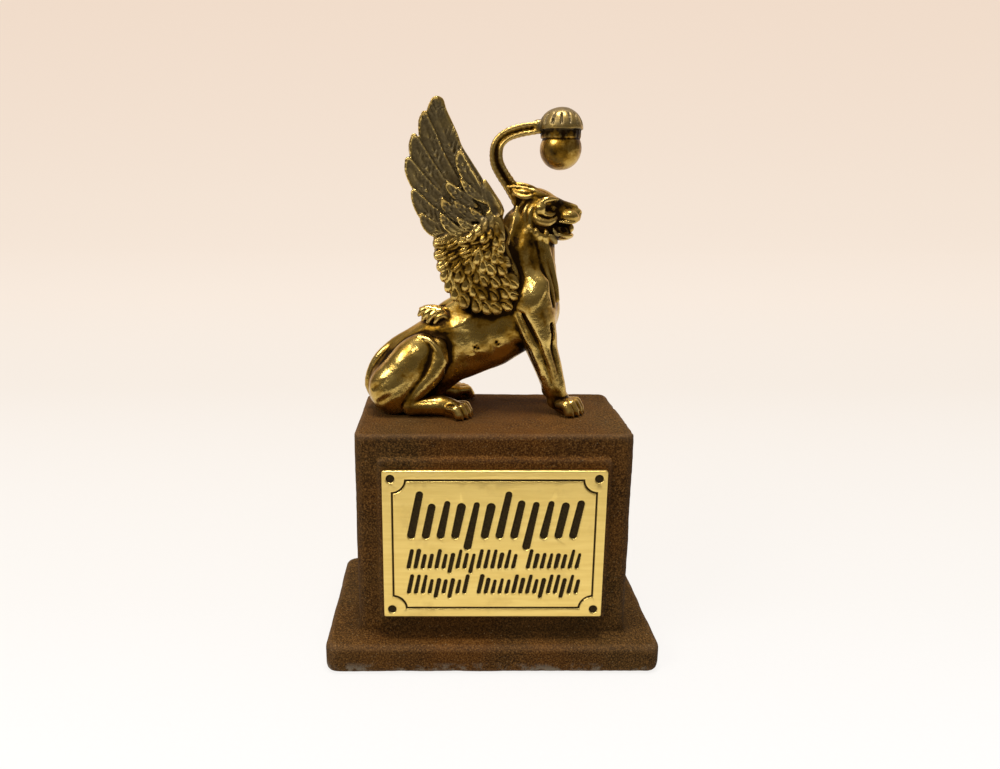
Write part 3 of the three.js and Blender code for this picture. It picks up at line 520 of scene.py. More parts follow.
def covert(x, z, angle, size):
    """A small curled feather with its tip at x, z, pointing along `angle` degrees."""
    stations = []
    for back, turn, width in COVERT_SHAPE:
        along = math.radians(angle + turn)
        stations.append((x - size * back * math.cos(along), z - size * back * math.sin(along),
                         size * width))
    return stations


def wing_feathers():
    """Every feather as its stations, its level above the wing's plate, and its kind."""
    feathers = [(SHOULDER_WEB, 0.1, "plain")]
    feathers += [(blade, 0.1 + 0.14 * i, "blade") for i, blade in enumerate(PRIMARIES)]
    feathers += [(leaf, 1.0 + 0.05 * i, "leaf") for i, leaf in enumerate(SECONDARIES)]
    hand = np.random.default_rng(SEED)
    for row, (share, first, last, size) in enumerate(COVERT_ROWS):
        angle = first + (row % 2) * 5
        while angle < last:
            radius = share * np.interp(angle, COVERT_ANGLES, COVERT_REACH)
            along = math.radians(angle)
            x = SHOULDER_X + radius * math.cos(along)
            z = SHOULDER_Z + radius * math.sin(along)
            points_to = 184 + 1.08 * (angle - 182) + hand.uniform(-13, 13)
            kind = "leafy" if points_to < 212 else "lobe"
            feather = covert(x, z, points_to, size * hand.uniform(0.94, 1.08))
            feathers.append((feather, 0.75 + 0.15 * row, kind))
            angle += math.degrees(COVERT_SPACING * size / radius) * hand.uniform(0.93, 1.07)
    for number, (x, z, angle) in enumerate(SHOULDER_CURLS):
        feathers.append((covert(x, z, angle, CURL_SIZE), 1.5 + 0.05 * number, "lobe"))
    return feathers


def to_line(x, z, x0, z0, x1, z1):
    """How far along a line the nearest place to x, z is, from 0 to 1, and how far off it."""
    dx, dz = x1 - x0, z1 - z0
    t = np.clip(((x - x0) * dx + (z - z0) * dz) / (dx * dx + dz * dz), 0, 1)
    return t, np.hypot(x - x0 - dx * t, z - z0 - dz * t)


def feather_field(stations, x, z):
    """Over the open grids x and z: the distance outside the feather's outline, the distance back
    from its tip as a share of its length and as it is, the signed distance across its shaft, and
    its half width there."""
    outside = np.full(np.broadcast_shapes(x.shape, z.shape), FAR)
    back = np.zeros_like(outside)
    across = np.zeros_like(outside)
    width = np.ones_like(outside)
    travelled = 0.0
    for (x0, z0, r0), (x1, z1, r1) in zip(stations, stations[1:]):
        t, gap = to_line(x, z, x0, z0, x1, z1)
        length = math.hypot(x1 - x0, z1 - z0)
        radius = r0 + (r1 - r0) * t
        nearer = gap - radius < outside
        outside = np.where(nearer, gap - radius, outside)
        back = np.where(nearer, travelled + t * length, back)
        side = ((x - x0) * (z1 - z0) - (z - z0) * (x1 - x0)) / length
        across = np.where(nearer, side, across)
        width = np.where(nearer, radius, width)
        travelled += length
    return outside, back / travelled, back, across, width


def outline_field(corners, x, z):
    """Over the open grids x and z: the distance to a closed outline, below zero inside it."""
    nearest = np.full(np.broadcast_shapes(x.shape, z.shape), FAR)
    inside = np.zeros(nearest.shape, bool)
    for (x0, z0), (x1, z1) in zip(corners, corners[1:] + corners[:1]):
        nearest = np.minimum(nearest, to_line(x, z, x0, z0, x1, z1)[1])
        if z1 != z0:
            inside ^= ((z0 > z) != (z1 > z)) & (x < x0 + (z - z0) * (x1 - x0) / (z1 - z0))
    return np.where(inside, -nearest, nearest)


def carved_strokes(kind, outside, back, across):
    """How deep a small feather is incised, from 0 to 1: two veins in a leafy one, a comma in a lobe."""
    fade = np.clip((-outside - 0.18) / 0.3, 0, 1) * np.clip((1.9 - back) / 0.5, 0, 1)
    if kind == "leafy":
        return fade * sum(np.exp(-((across - at) / 0.16) ** 2) for at in (-0.34, 0.34))
    return fade * np.exp(-((across - 0.4 + 0.5 * back) / 0.15) ** 2)


def feather_rise(kind, level, first, field):
    """The height of one feather above the wing's plate."""
    outside, share, back, across, width = field
    ring = np.clip(1 + outside / width, 0, 1)
    vault = np.sqrt(1 - ring * ring)
    fade = np.clip(-outside / 0.3, 0, 1)
    if kind == "plain":
        return level + 0.3 * vault
    if kind in ("leafy", "lobe"):
        strokes = carved_strokes(kind, outside, back, across)
        return level + 0.4 * (1 - share) + 0.75 * vault - 0.26 * strokes
    rim = np.exp(-((outside + 0.19) / 0.17) ** 2)
    if first:
        rim *= across > 0
    shaft = np.exp(-(across / 0.24) ** 2) * np.clip(share * 6, 0, 1)
    patches = np.sin(back * 1.3 + 7 * level) * np.sin(back * 0.57 + 3 * level + 0.6 * across)
    barbs = np.sin((back * 0.9 + np.abs(across) * 1.1) * 6.0) * np.clip(3 * patches + 0.4, 0, 1) * fade
    bend = 0.25 if kind == "blade" else 0.4
    return level + bend * (1 - share) + 0.2 * vault + 0.3 * rim + 0.16 * shaft + 0.13 * barbs


def cells_near(places, spots):
    """The numbers of the grid places that lie within a feather's reach of its spots."""
    return np.flatnonzero((places > spots.min() - FEATHER_REACH) & (places < spots.max() + FEATHER_REACH))


def wing_relief(casting):
    """Over the whole side view: the height of the feathers above the wing's plate, the distance to
    their outline, and how much dirt and painted shade lie in the gaps and strokes of the small ones."""
    x, z = casting.along(0), casting.along(2)
    edge = outline_field(COVERT_BED, x[:, None], z[None, :])
    height = np.where(edge < 0, 0.45, 0.0)
    # Dirt and painted shade: dark over the bed beneath the small feathers, in their gaps and in their carved
    # strokes.
    soil_and_shade = np.where(edge < 0, 1.0, 0.0)
    for number, (stations, level, kind) in enumerate(wing_feathers()):
        stations = np.array(curve(stations, 3 * len(stations)))
        at = np.ix_(cells_near(x, stations[:, 0]), cells_near(z, stations[:, 1]))
        field = feather_field(stations, x[at[0]], z[at[1]])
        outside, _, back, across, _ = field
        edge[at] = np.minimum(edge[at], outside)
        rise = feather_rise(kind, level, number == 1, field)
        shows = (outside < 0) & (rise > height[at])
        height[at] = np.where(shows, rise, height[at])
        dirt_and_shade = 0.0
        if kind in ("leafy", "lobe"):
            dirt_and_shade = np.clip(1 + outside / GAP_DIRT_AND_SHADE, 0, 1) + 0.5 * carved_strokes(kind, outside, back, across)
        soil_and_shade[at] = np.where(shows, dirt_and_shade, soil_and_shade[at])
    front_x, front_z = zip(*WING_FRONT)
    front = np.interp(z, front_z, front_x)
    return height, np.maximum(edge, x[:, None] - front[None, :]), soil_and_shade


# The small cupped leaf at the front of each wing, and the rib along the wing's inner edge.
CUP = ((-1.8, 43.5, 0.35), (-1.4, 42.2, 0.8), (-0.7, 40.6, 1.15), (0.1, 39.1, 1.25), (0.4, 38.3, 1.1))
INNER_RIB = (
    (1.0, 6.5, 39.0, 0.3), (1.3, 6.4, 35.6, 0.5), (1.8, 6.2, 32.4, 0.65), (2.9, 5.9, 29.4, 0.75),
    (4.0, 5.6, 27.0, 0.75), (4.8, 5.4, 24.6, 0.6), (4.9, 5.4, 22.0, 0.35),
)


def wing_plane(x, z):
    """How far from the figure's middle the wing's plate lies there."""
    return WING_ROOT_Y + (z - WING_ROOT_Z) * WING_LEAN - (x + 5) * WING_SWEEP


def make_wings(casting):
    """Both wings; gives back how much dirt and painted shade lie between their small feathers, in side view.
    """
    height, edge, soil_and_shade = wing_relief(casting)
    for side in SIDES:
        inner = -12 if side < 0 else 2
        low, high = (-18, inner, 17), (7, inner + 10, 60)
        swell(casting, side, 1.0, (1.0, 4.0, 26.5), (4.0, 2.0, 7.0), -12)
        cells, x, y, z = casting.window(low, high, 0)
        relief = height[cells[0], cells[2]][:, None, :]
        rim = edge[cells[0], cells[2]][:, None, :]
        out = side * y - wing_plane(x, z)
        plate = soft_max(out - 0.1 - relief, -out - WING_PLATE - 0.25 * relief, 0.15)
        plate = soft_max(plate, rim, 0.2)
        casting.depths[cells] = soft_min(casting.depths[cells], plate, 0.15)
        swell(casting, side, 0.4, (SHOULDER_X - 0.6, 5.4, SHOULDER_Z), (2.2, 0.9, 3.2), -12)
        casting.join(chain(curve(on_side(INNER_RIB, side), 18)), 0.6)
        for lift, share, work in ((0.9, 1.0, casting.join), (2.0, 0.76, casting.cut)):
            leaf = [
                (x, WING_ROOT_Y + (z - WING_ROOT_Z) * WING_LEAN + lift, z, share * radius)
                for x, z, radius in curve(CUP, 14)
            ]
            work(chain(on_side(leaf, side), 0.75), 0.12)
    return soil_and_shade


def wing_soil_and_shade(soil_and_shade, casting, points):
    """The dirt and painted shade between the small feathers at each of some points, none off the wings' outer
    faces.
    """
    cells = np.round((points[:, [0, 2]] - casting.low[[0, 2]]) / casting.step).astype(int)
    cells = np.clip(cells, 0, np.array(soil_and_shade.shape) - 1)
    x, y, z = points.T
    return soil_and_shade[cells[:, 0], cells[:, 1]] * (np.abs(y) > wing_plane(x, z)) * (z > WING_FOOT_Z)


# Head, bracket and lamp

SKULL = (
    (swell, 1.0, (8.4, 0, 38.2), (3.9, 3.1, 4.0), -20),
    (bar, 0.8, 0.95, (4.6, 0, 41.4, 1.7), (8.2, 0, 40.3, 1.95), (11.8, 0, 38.9, 1.75)),
    (bar, 0.5, 0.85, (11.6, 0, 37.9, 2.2), (14.9, 0, 37.4, 1.6)),
    (bar, 0.5, 1.15, (9.6, 0, 34.6, 2.3), (13.2, 0, 34.2, 1.4)),
    (bar, 0.35, 1.0, (11.6, 0, 39.9, 0.8), (15.5, 0, 38.7, 0.72)),
    (swell, 0.15, (16.0, 0, 38.0), (0.95, 1.1, 0.75), -25),
    (swell, 0.2, (15.6, 0, 37.3), (1.2, 1.2, 1.1)),
)
# Cheek hollow, whisker pad, nostril, the open mouth up to a wall in its middle, and the lips.
MUZZLE = (
    (notch, 0.4, 1.0, (12.6, 2.3, 39.3, 0.5), (12.4, 2.6, 36.2, 0.65)),
    (swell, 0.3, (14.4, 0.95, 37.2), (1.8, 1.3, 1.3), -6),
    (groove, 0.25, (12.8, 2.0, 38.9, 0.35), (14.2, 1.9, 38.75, 0.3), (15.8, 1.5, 38.3, 0.2)),
    (pit, 0.08, (16.65, 0.6, 37.8), (0.4, 0.28, 0.24)),
    (notch, 0.1, 1.7, (13.5, 2.3, 35.0, 0.85), (16.2, 2.3, 35.0, 0.95)),
    (notch, 0.1, 1.0, (12.7, 2.8, 35.05, 0.6), (13.6, 2.5, 35.0, 0.85)),
    (ridge, 0.15, (12.5, 2.2, 36.3, 0.25), (13.7, 2.1, 36.15, 0.3), (15.1, 1.7, 36.15, 0.32),
     (16.2, 0.6, 36.7, 0.36)),
    (ridge, 0.15, (12.5, 2.1, 34.0, 0.28), (13.4, 1.85, 33.65, 0.32), (14.5, 1.2, 33.6, 0.36),
     (15.1, 0.2, 33.7, 0.36)),
)
# The mouth's front, the chin and the tongue.
JAW = (
    (notch, 0.12, 2.6, (16.6, 0, 35.15, 0.8), (18.2, 0, 34.9, 1.1)),
    (swell, 0.3, (13.8, 0, 33.5), (1.5, 1.2, 0.72), 2),
    (swell, 0.2, (14.7, 0, 33.65), (0.6, 0.95, 0.5), 10),
    (bar, 0.1, 0.45, (12.8, 0, 35.0, 1.0), (14.6, 0, 35.0, 0.9)),
)
# Eye socket, brow, temple, lower lid, the cheek's bowed fold and its groove, eyeball and upper lid.
FACE = (
    (notch, 0.4, 1.0, (10.2, 3.1, 38.8, 0.8), (11.6, 2.8, 38.9, 1.15), (13.3, 2.3, 39.4, 0.8)),
    (ridge, 0.2, (8.8, 2.8, 39.8, 0.4), (9.8, 2.75, 40.25, 0.5), (11.0, 2.3, 40.4, 0.42),
     (12.1, 1.7, 40.3, 0.25)),
    (swell, 0.4, (8.7, 2.8, 38.7), (1.0, 0.9, 1.15)),
    (ridge, 0.25, (9.3, 2.9, 37.9, 0.25), (10.0, 2.8, 37.55, 0.3), (10.8, 2.5, 37.45, 0.26),
     (11.5, 2.1, 37.7, 0.18)),
    (ridge, 0.4, (7.7, 2.8, 37.9, 0.45), (8.0, 3.0, 36.9, 0.7), (9.0, 3.1, 36.3, 0.8),
     (10.2, 2.9, 36.1, 0.75), (11.3, 2.4, 36.5, 0.5), (11.9, 2.0, 37.0, 0.25)),
    (groove, 0.3, (8.6, 3.5, 37.6, 0.15), (9.4, 3.4, 37.2, 0.2), (10.6, 3.1, 37.0, 0.2)),
    (swell, 0.06, (11.3, 1.65, 38.5), (0.42, 0.45, 0.36)),
    (ridge, 0.08, (10.3, 1.9, 38.8, 0.13), (11.2, 1.95, 39.0, 0.16), (12.0, 1.6, 38.7, 0.13)),
)
# The ruff's locks grow around the cheek: the angle of each, and how far it reaches. A lock's
# stations are its share of the way, how far it stands out, and its radius.
RUFF_CENTRE = (9.6, 37.2)
RUFF_START = 2.7
RUFF = ((214, 4.1), (232, 4.2), (249, 4.4), (266, 4.9), (283, 5.4))
RUFF_LOCK = ((0, 2.5, 0.5), (0.4, 2.95, 0.75), (0.8, 2.8, 0.65), (1, 2.4, 0.35))
# Strands behind the ruff, the locks of the beard, and the leaves of the crest.
MANE = (
    (ridge, 0.18, (6.9, 2.2, 39.9, 0.25), (6.1, 2.6, 38.6, 0.45), (5.9, 2.7, 36.9, 0.5),
     (6.4, 2.7, 35.0, 0.45), (7.8, 2.5, 33.5, 0.42), (9.5, 2.2, 32.4, 0.4), (11.2, 1.7, 32.0, 0.3)),
    (ridge, 0.18, (7.6, 2.7, 39.4, 0.25), (6.9, 2.9, 38.2, 0.42), (6.8, 3.0, 36.7, 0.42),
     (7.3, 2.9, 35.3, 0.3)),
    (ridge, 0.18, (8.0, 2.4, 40.5, 0.2), (7.0, 2.2, 40.6, 0.35), (5.9, 2.0, 40.1, 0.35),
     (5.2, 1.8, 39.3, 0.2)),
    (ridge, 0.18, (9.2, 2.1, 41.0, 0.2), (8.0, 2.1, 41.1, 0.35), (6.8, 2.0, 41.0, 0.2)),
    (groove, 0.3, (7.2, 3.6, 35.6, 0.2), (8.6, 3.5, 34.9, 0.4), (10.2, 3.1, 34.6, 0.45),
     (11.6, 2.6, 34.3, 0.3)),
    (ridge, 0.08, (7.9, 2.8, 35.5, 0.25), (8.1, 3.2, 34.6, 0.5), (8.8, 3.0, 33.9, 0.3)),
    (ridge, 0.08, (9.8, 2.6, 35.2, 0.25), (10.0, 2.9, 34.3, 0.45), (10.6, 2.6, 33.7, 0.3)),
    (ridge, 0.08, (11.3, 2.3, 35.0, 0.25), (11.7, 2.4, 34.2, 0.42), (12.3, 2.0, 33.7, 0.25)),
    (swell, 0.2, (5.8, 1.6, 41.3), (1.5, 0.75, 0.6), -10),
    (ridge, 0.07, (3.0, 0.4, 42.9, 0.4), (4.8, 0.7, 43.0, 0.45), (6.8, 0.8, 42.6, 0.45),
     (8.6, 0.7, 41.9, 0.3)),
    (ridge, 0.07, (3.2, 1.0, 42.5, 0.35), (4.6, 1.4, 42.5, 0.35), (6.2, 1.6, 42.2, 0.4),
     (7.4, 1.5, 41.8, 0.25)),
    (ridge, 0.07, (3.7, 1.3, 42.0, 0.3), (4.7, 1.8, 41.8, 0.32), (5.8, 2.1, 41.6, 0.36),
     (6.9, 2.1, 41.4, 0.25)),
    (ridge, 0.07, (3.9, 1.5, 41.6, 0.3), (4.6, 2.0, 41.1, 0.34), (5.4, 2.3, 40.75, 0.4),
     (6.4, 2.45, 40.7, 0.45), (7.2, 2.35, 41.0, 0.3)),
    (ridge, 0.07, (6.2, 1.5, 42.2, 0.3), (7.6, 1.8, 41.8, 0.45), (9.2, 1.8, 41.1, 0.4),
     (10.7, 1.4, 40.6, 0.2)),
)
LIP_SLIT = ((16.9, 0, 37.4, 0.12), (16.6, 0, 36.6, 0.12))


def make_head(casting):
    model(casting, SKULL)
    for side in SIDES:
        model(casting, MUZZLE, side)
    model(casting, JAW)
    for side in SIDES:
        model(casting, FACE, side)
        make_ruff(casting, side)
        model(casting, MANE, side)
    notch(casting, 1, 0.1, 1.0, *LIP_SLIT)


def make_ruff(casting, side):
    for turn, reach in RUFF:
        stations = []
        for share, out, radius in RUFF_LOCK:
            along = math.radians(turn + 14 * share)
            length = RUFF_START + (reach - RUFF_START) * share
            narrower = 0.16 * max(0, turn - 230) / 10 * share
            stations.append((RUFF_CENTRE[0] + length * math.cos(along), out - narrower,
                             RUFF_CENTRE[1] + length * math.sin(along), radius))
        ridge(casting, side, 0.22, *stations)


# The bracket is a flat strap with a beaded cord along each of its four corners.
BRACKET = ((6.4, 0, 37.4, 1.15), (4.9, 0, 40.2, 1.02), (3.3, 0, 42.8, 0.93), (1.75, 0, 45.0, 0.86),
           (0.8, 0, 46.9, 0.83), (0.6, 0, 48.8, 0.83), (1.0, 0, 50.3, 0.8), (2.3, 0, 51.6, 0.78),
           (4.6, 0, 52.5, 0.78), (7.5, 0, 53.0, 0.8), (9.8, 0, 53.4, 0.85))
STRAP_FLAT = 0.85
CORD_OFFSET = 0.72
CORD_Y = 0.6
CORD_SHARE = 0.54
BEAD_SHARE = 0.06
CORD_BEADS = 30


def make_bracket(casting):
    line = np.array(curve(BRACKET, 240))
    along = np.gradient(line[:, [0, 2]], axis=0)
    along /= np.linalg.norm(along, axis=1)[:, None]
    casting.join(chain(line[::4], STRAP_FLAT), 0.3)
    beads = np.cos(np.linspace(0, 2 * math.pi * CORD_BEADS, len(line)))
    for offset in (-1, 1):
        cord = line.copy()
        cord[:, 0] += along[:, 1] * CORD_OFFSET * offset
        cord[:, 2] -= along[:, 0] * CORD_OFFSET * offset
        cord[:, 3] *= CORD_SHARE + BEAD_SHARE * beads
        for y in (-CORD_Y, CORD_Y):
            cord[:, 1] = y
            casting.join(chain(cord), 0.1)


LAMP_X = 12.4
GLOBE_Z = 49.3
GLOBE_RADIUS = 3.8
HOOD_Z = 52.95
HOOD_RADIUS = 4.05
HOOD_RISE = 3.7
HOOD_FLUTES = 15
FLUTE_DEPTH = 0.5
COLLAR_RADIUS = 3.65
COLLAR_BEADS = 22


def make_lamp(casting):
    hood = egg((LAMP_X, 0, HOOD_Z), (HOOD_RADIUS, HOOD_RADIUS, HOOD_RISE))
    plain = hood[0].depth

    def fluted(x, y, z):
        around = np.arctan2(y, x - LAMP_X)
        flute = np.clip(1 - np.abs(np.sin(0.5 * HOOD_FLUTES * around)) * 2.2, 0, 1)
        deep = np.clip((HOOD_Z + 2.7 - z) / 0.7, 0, 1) * np.clip((z - HOOD_Z - 0.4) / 0.5, 0, 1)
        return soft_max(plain(x, y, z) + FLUTE_DEPTH * flute * deep, HOOD_Z - 0.25 - z, 0.12)

    hood[0].depth = fluted
    casting.join(hood, 0.1)
    casting.join(limb((LAMP_X - 4.2, 0, HOOD_Z + 0.45, 1.15), (LAMP_X - 2.6, 0, HOOD_Z + 0.6, 0.9)), 0.2)

    def collar(x, y, z):
        beads = 0.05 * np.cos(COLLAR_BEADS * np.arctan2(y, x - LAMP_X))
        bulge = np.abs(z - HOOD_Z + 1.05) - 0.8
        return soft_max(np.hypot(x - LAMP_X, y) - COLLAR_RADIUS - beads, bulge, 0.3)

    low, high = (LAMP_X - 3.8, -3.8, HOOD_Z - 2), (LAMP_X + 3.8, 3.8, HOOD_Z)
    casting.join([SimpleNamespace(low=np.array(low), high=np.array(high), depth=collar)], 0.08)
    casting.join(egg((LAMP_X + 0.1, 0, GLOBE_Z), (GLOBE_RADIUS,) * 3), 0.1)


# From depths to meshes

BARELY_INSIDE = 0.05


def stretch_of(values, axis, start, stop):
    """The part of a grid between two places along one axis."""
    return values[(slice(None),) * axis + (slice(start, stop),)]


def corner_of_squares(values, axis, corner):
    """One corner of every grid square that lies across an axis."""
    others = [a for a in range(3) if a != axis]
    for along, place in zip(others, corner):
        values = stretch_of(values, along, place, values.shape[along] - 1 + place)
    return values


def close_chequers(casting):
    """Fills each grid square whose corners are inside and outside by turns.

    Two skins would share an edge there, and a cast solid has no such edge.
    """
    while True:
        inside = casting.depths < 0
        filled = np.zeros(inside.shape, bool)
        for axis in range(3):
            near, right, up, far = [corner_of_squares(inside, axis, corner)
                                    for corner in ((0, 0), (1, 0), (0, 1), (1, 1))]
            chequered = (near == far) & (right == up) & (near != right)
            for corner in np.ndindex(2, 2):
                corner_of_squares(filled, axis, corner)[...] |= chequered
        filled &= ~inside
        if not filled.any():
            return
        casting.depths[filled] = -BARELY_INSIDE * casting.step


def surface_of(casting):
    """The zero surface as points, in the casting's own units, and four-sided faces."""
    close_chequers(casting)
    depths = casting.depths
    inside = depths < 0
    shape = tuple(n - 1 for n in depths.shape)
    count = np.zeros(shape, np.uint8)
    for corner in np.ndindex(2, 2, 2):
        cells = tuple(slice(c, c + n) for c, n in zip(corner, shape))
        count += inside[cells]
    cells = np.argwhere((count > 0) & (count < 8))
    number = np.full(shape, -1, np.int32)
    number[tuple(cells.T)] = np.arange(len(cells))
    total = np.zeros((len(cells), 3))
    crossings = np.zeros(len(cells))
    for axis in range(3):
        for near in np.ndindex(2, 2):
            corner = np.insert(near, axis, 0)
            step = np.eye(3, dtype=int)[axis]
            start = depths[tuple((cells + corner).T)]
            end = depths[tuple((cells + corner + step).T)]
            crossed = (start < 0) != (end < 0)
            share = np.where(crossed, start / np.where(crossed, start - end, 1), 0)
            total += (corner + share[:, None] * step) * crossed[:, None]
            crossings += crossed
    points = casting.low + casting.step * (cells + total / crossings[:, None])
    faces = []
    for axis in range(3):
        first, second = (1, 2, 0, 1)[axis:axis + 2]
        change = stretch_of(inside, axis, 0, -1).astype(np.int8) - stretch_of(inside, axis, 1, None)
        edges = np.argwhere(change != 0)
        edges = edges[(edges[:, first] > 0) & (edges[:, second] > 0)]
        edges = edges[(edges[:, first] < shape[first]) & (edges[:, second] < shape[second])]
        signs = change[tuple(edges.T)]
        back_first, back_second = np.eye(3, dtype=int)[first], np.eye(3, dtype=int)[second]
        ring = [edges - back_first - back_second, edges - back_second, edges, edges - back_first]
        quads = np.stack([number[tuple(corner.T)] for corner in ring], 1)
        quads[signs < 0] = quads[signs < 0][:, ::-1]
        faces.append(quads)
    return points, np.concatenate(faces)


def make_mesh(name, points, faces):
    mesh = bpy.data.meshes.new(name)
    sides = faces.shape[1]
    mesh.vertices.add(len(points))
    mesh.vertices.foreach_set("co", points.astype(np.float32).ravel())
    mesh.loops.add(faces.size)
    mesh.loops.foreach_set("vertex_index", faces.ravel().astype(np.int32))
    mesh.polygons.add(len(faces))
    mesh.polygons.foreach_set("loop_start", np.arange(len(faces), dtype=np.int32) * sides)
    mesh.update(calc_edges=True)
    piece = bpy.data.objects.new(name, mesh)
    bpy.context.scene.collection.objects.link(piece)
    return piece


def make_smooth(piece):
    piece.data.polygons.foreach_set("use_smooth", np.ones(len(piece.data.polygons), bool))


def drop_crumbs(piece):
    """Deletes the loose crumbs of a surface, so that one connected skin is left."""
    ends = np.empty(len(piece.data.edges) * 2, np.int32)
    piece.data.edges.foreach_get("vertices", ends)
    ends = ends.reshape(-1, 2)
    skin = np.arange(len(piece.data.vertices))
    while True:
        lowest = skin[ends].min(axis=1)
        joined = skin.copy()
        for end in ends.T:
            np.minimum.at(joined, end, lowest)
        joined = joined[joined]
        if np.array_equal(joined, skin):
            break
        skin = joined
    crumbs = np.flatnonzero(skin != np.bincount(skin).argmax())
    if len(crumbs):
        cleaned = bmesh.new()
        cleaned.from_mesh(piece.data)
        cleaned.verts.ensure_lookup_table()
        bmesh.ops.delete(cleaned, geom=[cleaned.verts[i] for i in crumbs], context="VERTS")
        cleaned.to_mesh(piece.data)
        cleaned.free()


def thin_out(piece, triangles):
    """Merges the least visible edges until about so many triangles are left."""
    now = sum(len(face.vertices) - 2 for face in piece.data.polygons)
    if now > triangles:
        modifier = piece.modifiers.new("thin", "DECIMATE")
        modifier.ratio = triangles / now
        modifier.use_collapse_triangulate = True
        graph = bpy.context.evaluated_depsgraph_get()
        thinned = bpy.data.meshes.new_from_object(piece.evaluated_get(graph))
        piece.modifiers.clear()
        piece.data = thinned
        drop_crumbs(piece)


def box_blur(values, radius):
    """The mean over a cube of so many cells each way."""
    width = 2 * radius + 1
    for axis in range(3):
        extra = [(radius + 1, radius) if a == axis else (0, 0) for a in range(3)]
        sums = np.cumsum(np.pad(values, extra, mode="edge"), axis=axis, dtype=np.float32)
        values = (stretch_of(sums, axis, width, None) - stretch_of(sums, axis, 0, -width)) / width
    return values


def sample(values, casting, points, stride):
    """Values of a grid, made from every so many cells, at points: blended between the nearest."""
    place = (points - casting.low) / (casting.step * stride)
    place = np.clip(place, 0, np.array(values.shape) - 1.001)
    cell = place.astype(int)
    share = place - cell
    found = np.zeros(len(points))
    for corner in np.ndindex(2, 2, 2):
        weight = np.prod(np.where(corner, share, 1 - share), axis=1)
        found += weight * values[tuple((cell + corner).T)]
    return found


def surface_piece(name, casting, triangles):
    """A casting's surface as a smooth object of about so many triangles."""
    piece = make_mesh(name, *surface_of(casting))
    thin_out(piece, triangles)
    make_smooth(piece)
    return piece


def store(piece, name, values):
    attribute = piece.data.attributes.new(name, "FLOAT", "POINT")
    attribute.data.foreach_set("value", np.asarray(values, np.float32))


def points_of(piece):
    points = np.zeros(len(piece.data.vertices) * 3, np.float32)
    piece.data.vertices.foreach_get("co", points)
    return points.reshape(-1, 3).astype(float)


def store_blurs(piece, points, casting, reaches, stride):
    """Stores how much of the space around each point is solid, within some reaches by name."""
    solid = np.clip(0.5 - casting.depths[::stride, ::stride, ::stride] / casting.step, 0, 1)
    for name, reach in reaches.items():
        blurred = box_blur(solid, max(1, round(reach / casting.step / stride)))
        store(piece, name, sample(blurred, casting, points, stride))


FIGURE_STEP = 0.16
FIGURE_TRIANGLES = 190000
# How high and how wide the lumps in the surface are, and how far the blurred values reach; the
# material darkens the brass with them, as patina in crevices and as painted shade in hollows and shade.
FIGURE_LUMPS = ((0.07, 2.8), (0.018, 0.9))
FIGURE_BLURS = {"crevice": 0.5, "hollow": 1.5, "shade": 3.4}
# How far the figure's foot is sunk into the plinth's top.
SUNK = 0.2
# Where the figure is darker in side view: x, z, reach and how much. Some spots are dirt and darker tone;
# those in the mouth, the eye sockets, the fold behind the muzzle, under the cheeks and under the ruff
# are painted shade. Less than none is a brighter, smoother spot, a painted highlight on the breast.
GRIME_SHADE_AND_SHEEN = (
    (14.0, 35.0, 1.05, 1.2), (12.0, 34.6, 1.3, 0.5), (11.6, 33.4, 1.2, 0.5), (10.6, 34.2, 1.2, 0.3),
    (11.6, 38.7, 1.4, 0.9), (12.3, 37.3, 0.9, 0.7), (13.2, 39.3, 1.1, 0.35), (14.8, 39.6, 1.5, 0.2),
    (12.6, 40.2, 1.2, 0.3), (5.5, 41.6, 2.4, 0.35), (7.4, 40.4, 1.6, 0.4), (5.3, 36.0, 0.9, 0.6),
    (6.2, 33.6, 1.4, 0.55), (7.4, 32.2, 0.9, 0.6), (9.2, 31.0, 0.9, 0.6), (3.0, 36.6, 1.3, 0.4),
    (12.4, 52.1, 0.9, 0.9), (9.8, 52.1, 1.0, 0.9), (15.0, 52.1, 1.0, 0.9), (12.4, 55.4, 2.8, 0.6),
    (12.4, 49.0, 4.0, 0.35), (9.0, 53.0, 1.2, 0.5), (1.0, 47.5, 3.4, 0.55), (5.0, 52.2, 3.2, 0.5),
    (12.4, 2.6, 2.3, 0.75), (11.8, 6.8, 2.2, 0.45), (11.2, 11.0, 2.4, 0.25), (-8.0, 5.0, 1.9, 0.4),
    (2.0, 38.0, 1.8, 0.4), (1.9, 34.5, 1.6, 0.3), (10.4, 19.6, 2.4, 0.4), (7.6, 31.2, 1.9, 0.35),
    (11.2, 30.6, 1.8, 0.35), (-8.4, 15.0, 2.4, 0.35), (-11.8, 11.0, 1.3, 0.3), (-9.0, 19.0, 1.8, 0.25),
    (-1.0, 17.6, 2.4, 0.2), (3.4, 16.2, 2.4, 0.25), (7.4, 25.6, 2.2, -0.5),
    (-2.9, 13.1, 0.7, 0.6), (1.1, 13.9, 0.7, 0.6), (-0.8, 13.2, 1.6, 0.15), (3.2, 14.8, 1.0, 0.3),
)


def grime_shade_and_sheen_at(points):
    grime_shade_and_sheen = np.zeros(len(points))
    for x, z, reach, amount in GRIME_SHADE_AND_SHEEN:
        gap = np.hypot(points[:, 0] - x, points[:, 2] - z)
        # Dirt and tone, painted shade and a painted highlight, fading out from each spot.
        grime_shade_and_sheen += amount * np.clip(1.4 - gap / reach, 0, 1)
    return grime_shade_and_sheen


def patina_at(points):
    """How matt and brown each point is: the wings' upper parts, and the lamp's hood a little less."""
    x, y, z = points.T
    wing = np.clip((z - 33.5 - 0.25 * (x + 5)) / 3.0, 0, 1)
    wing *= np.clip((np.abs(y) - 4.2) / 0.8, 0, 1)
    wing *= np.clip((1.5 - x) / 2.0, 0, 1)
    hood = 0.9 * np.clip((z - 52.3) / 0.6, 0, 1) * (x > 8.0)
    return np.maximum(wing, hood)


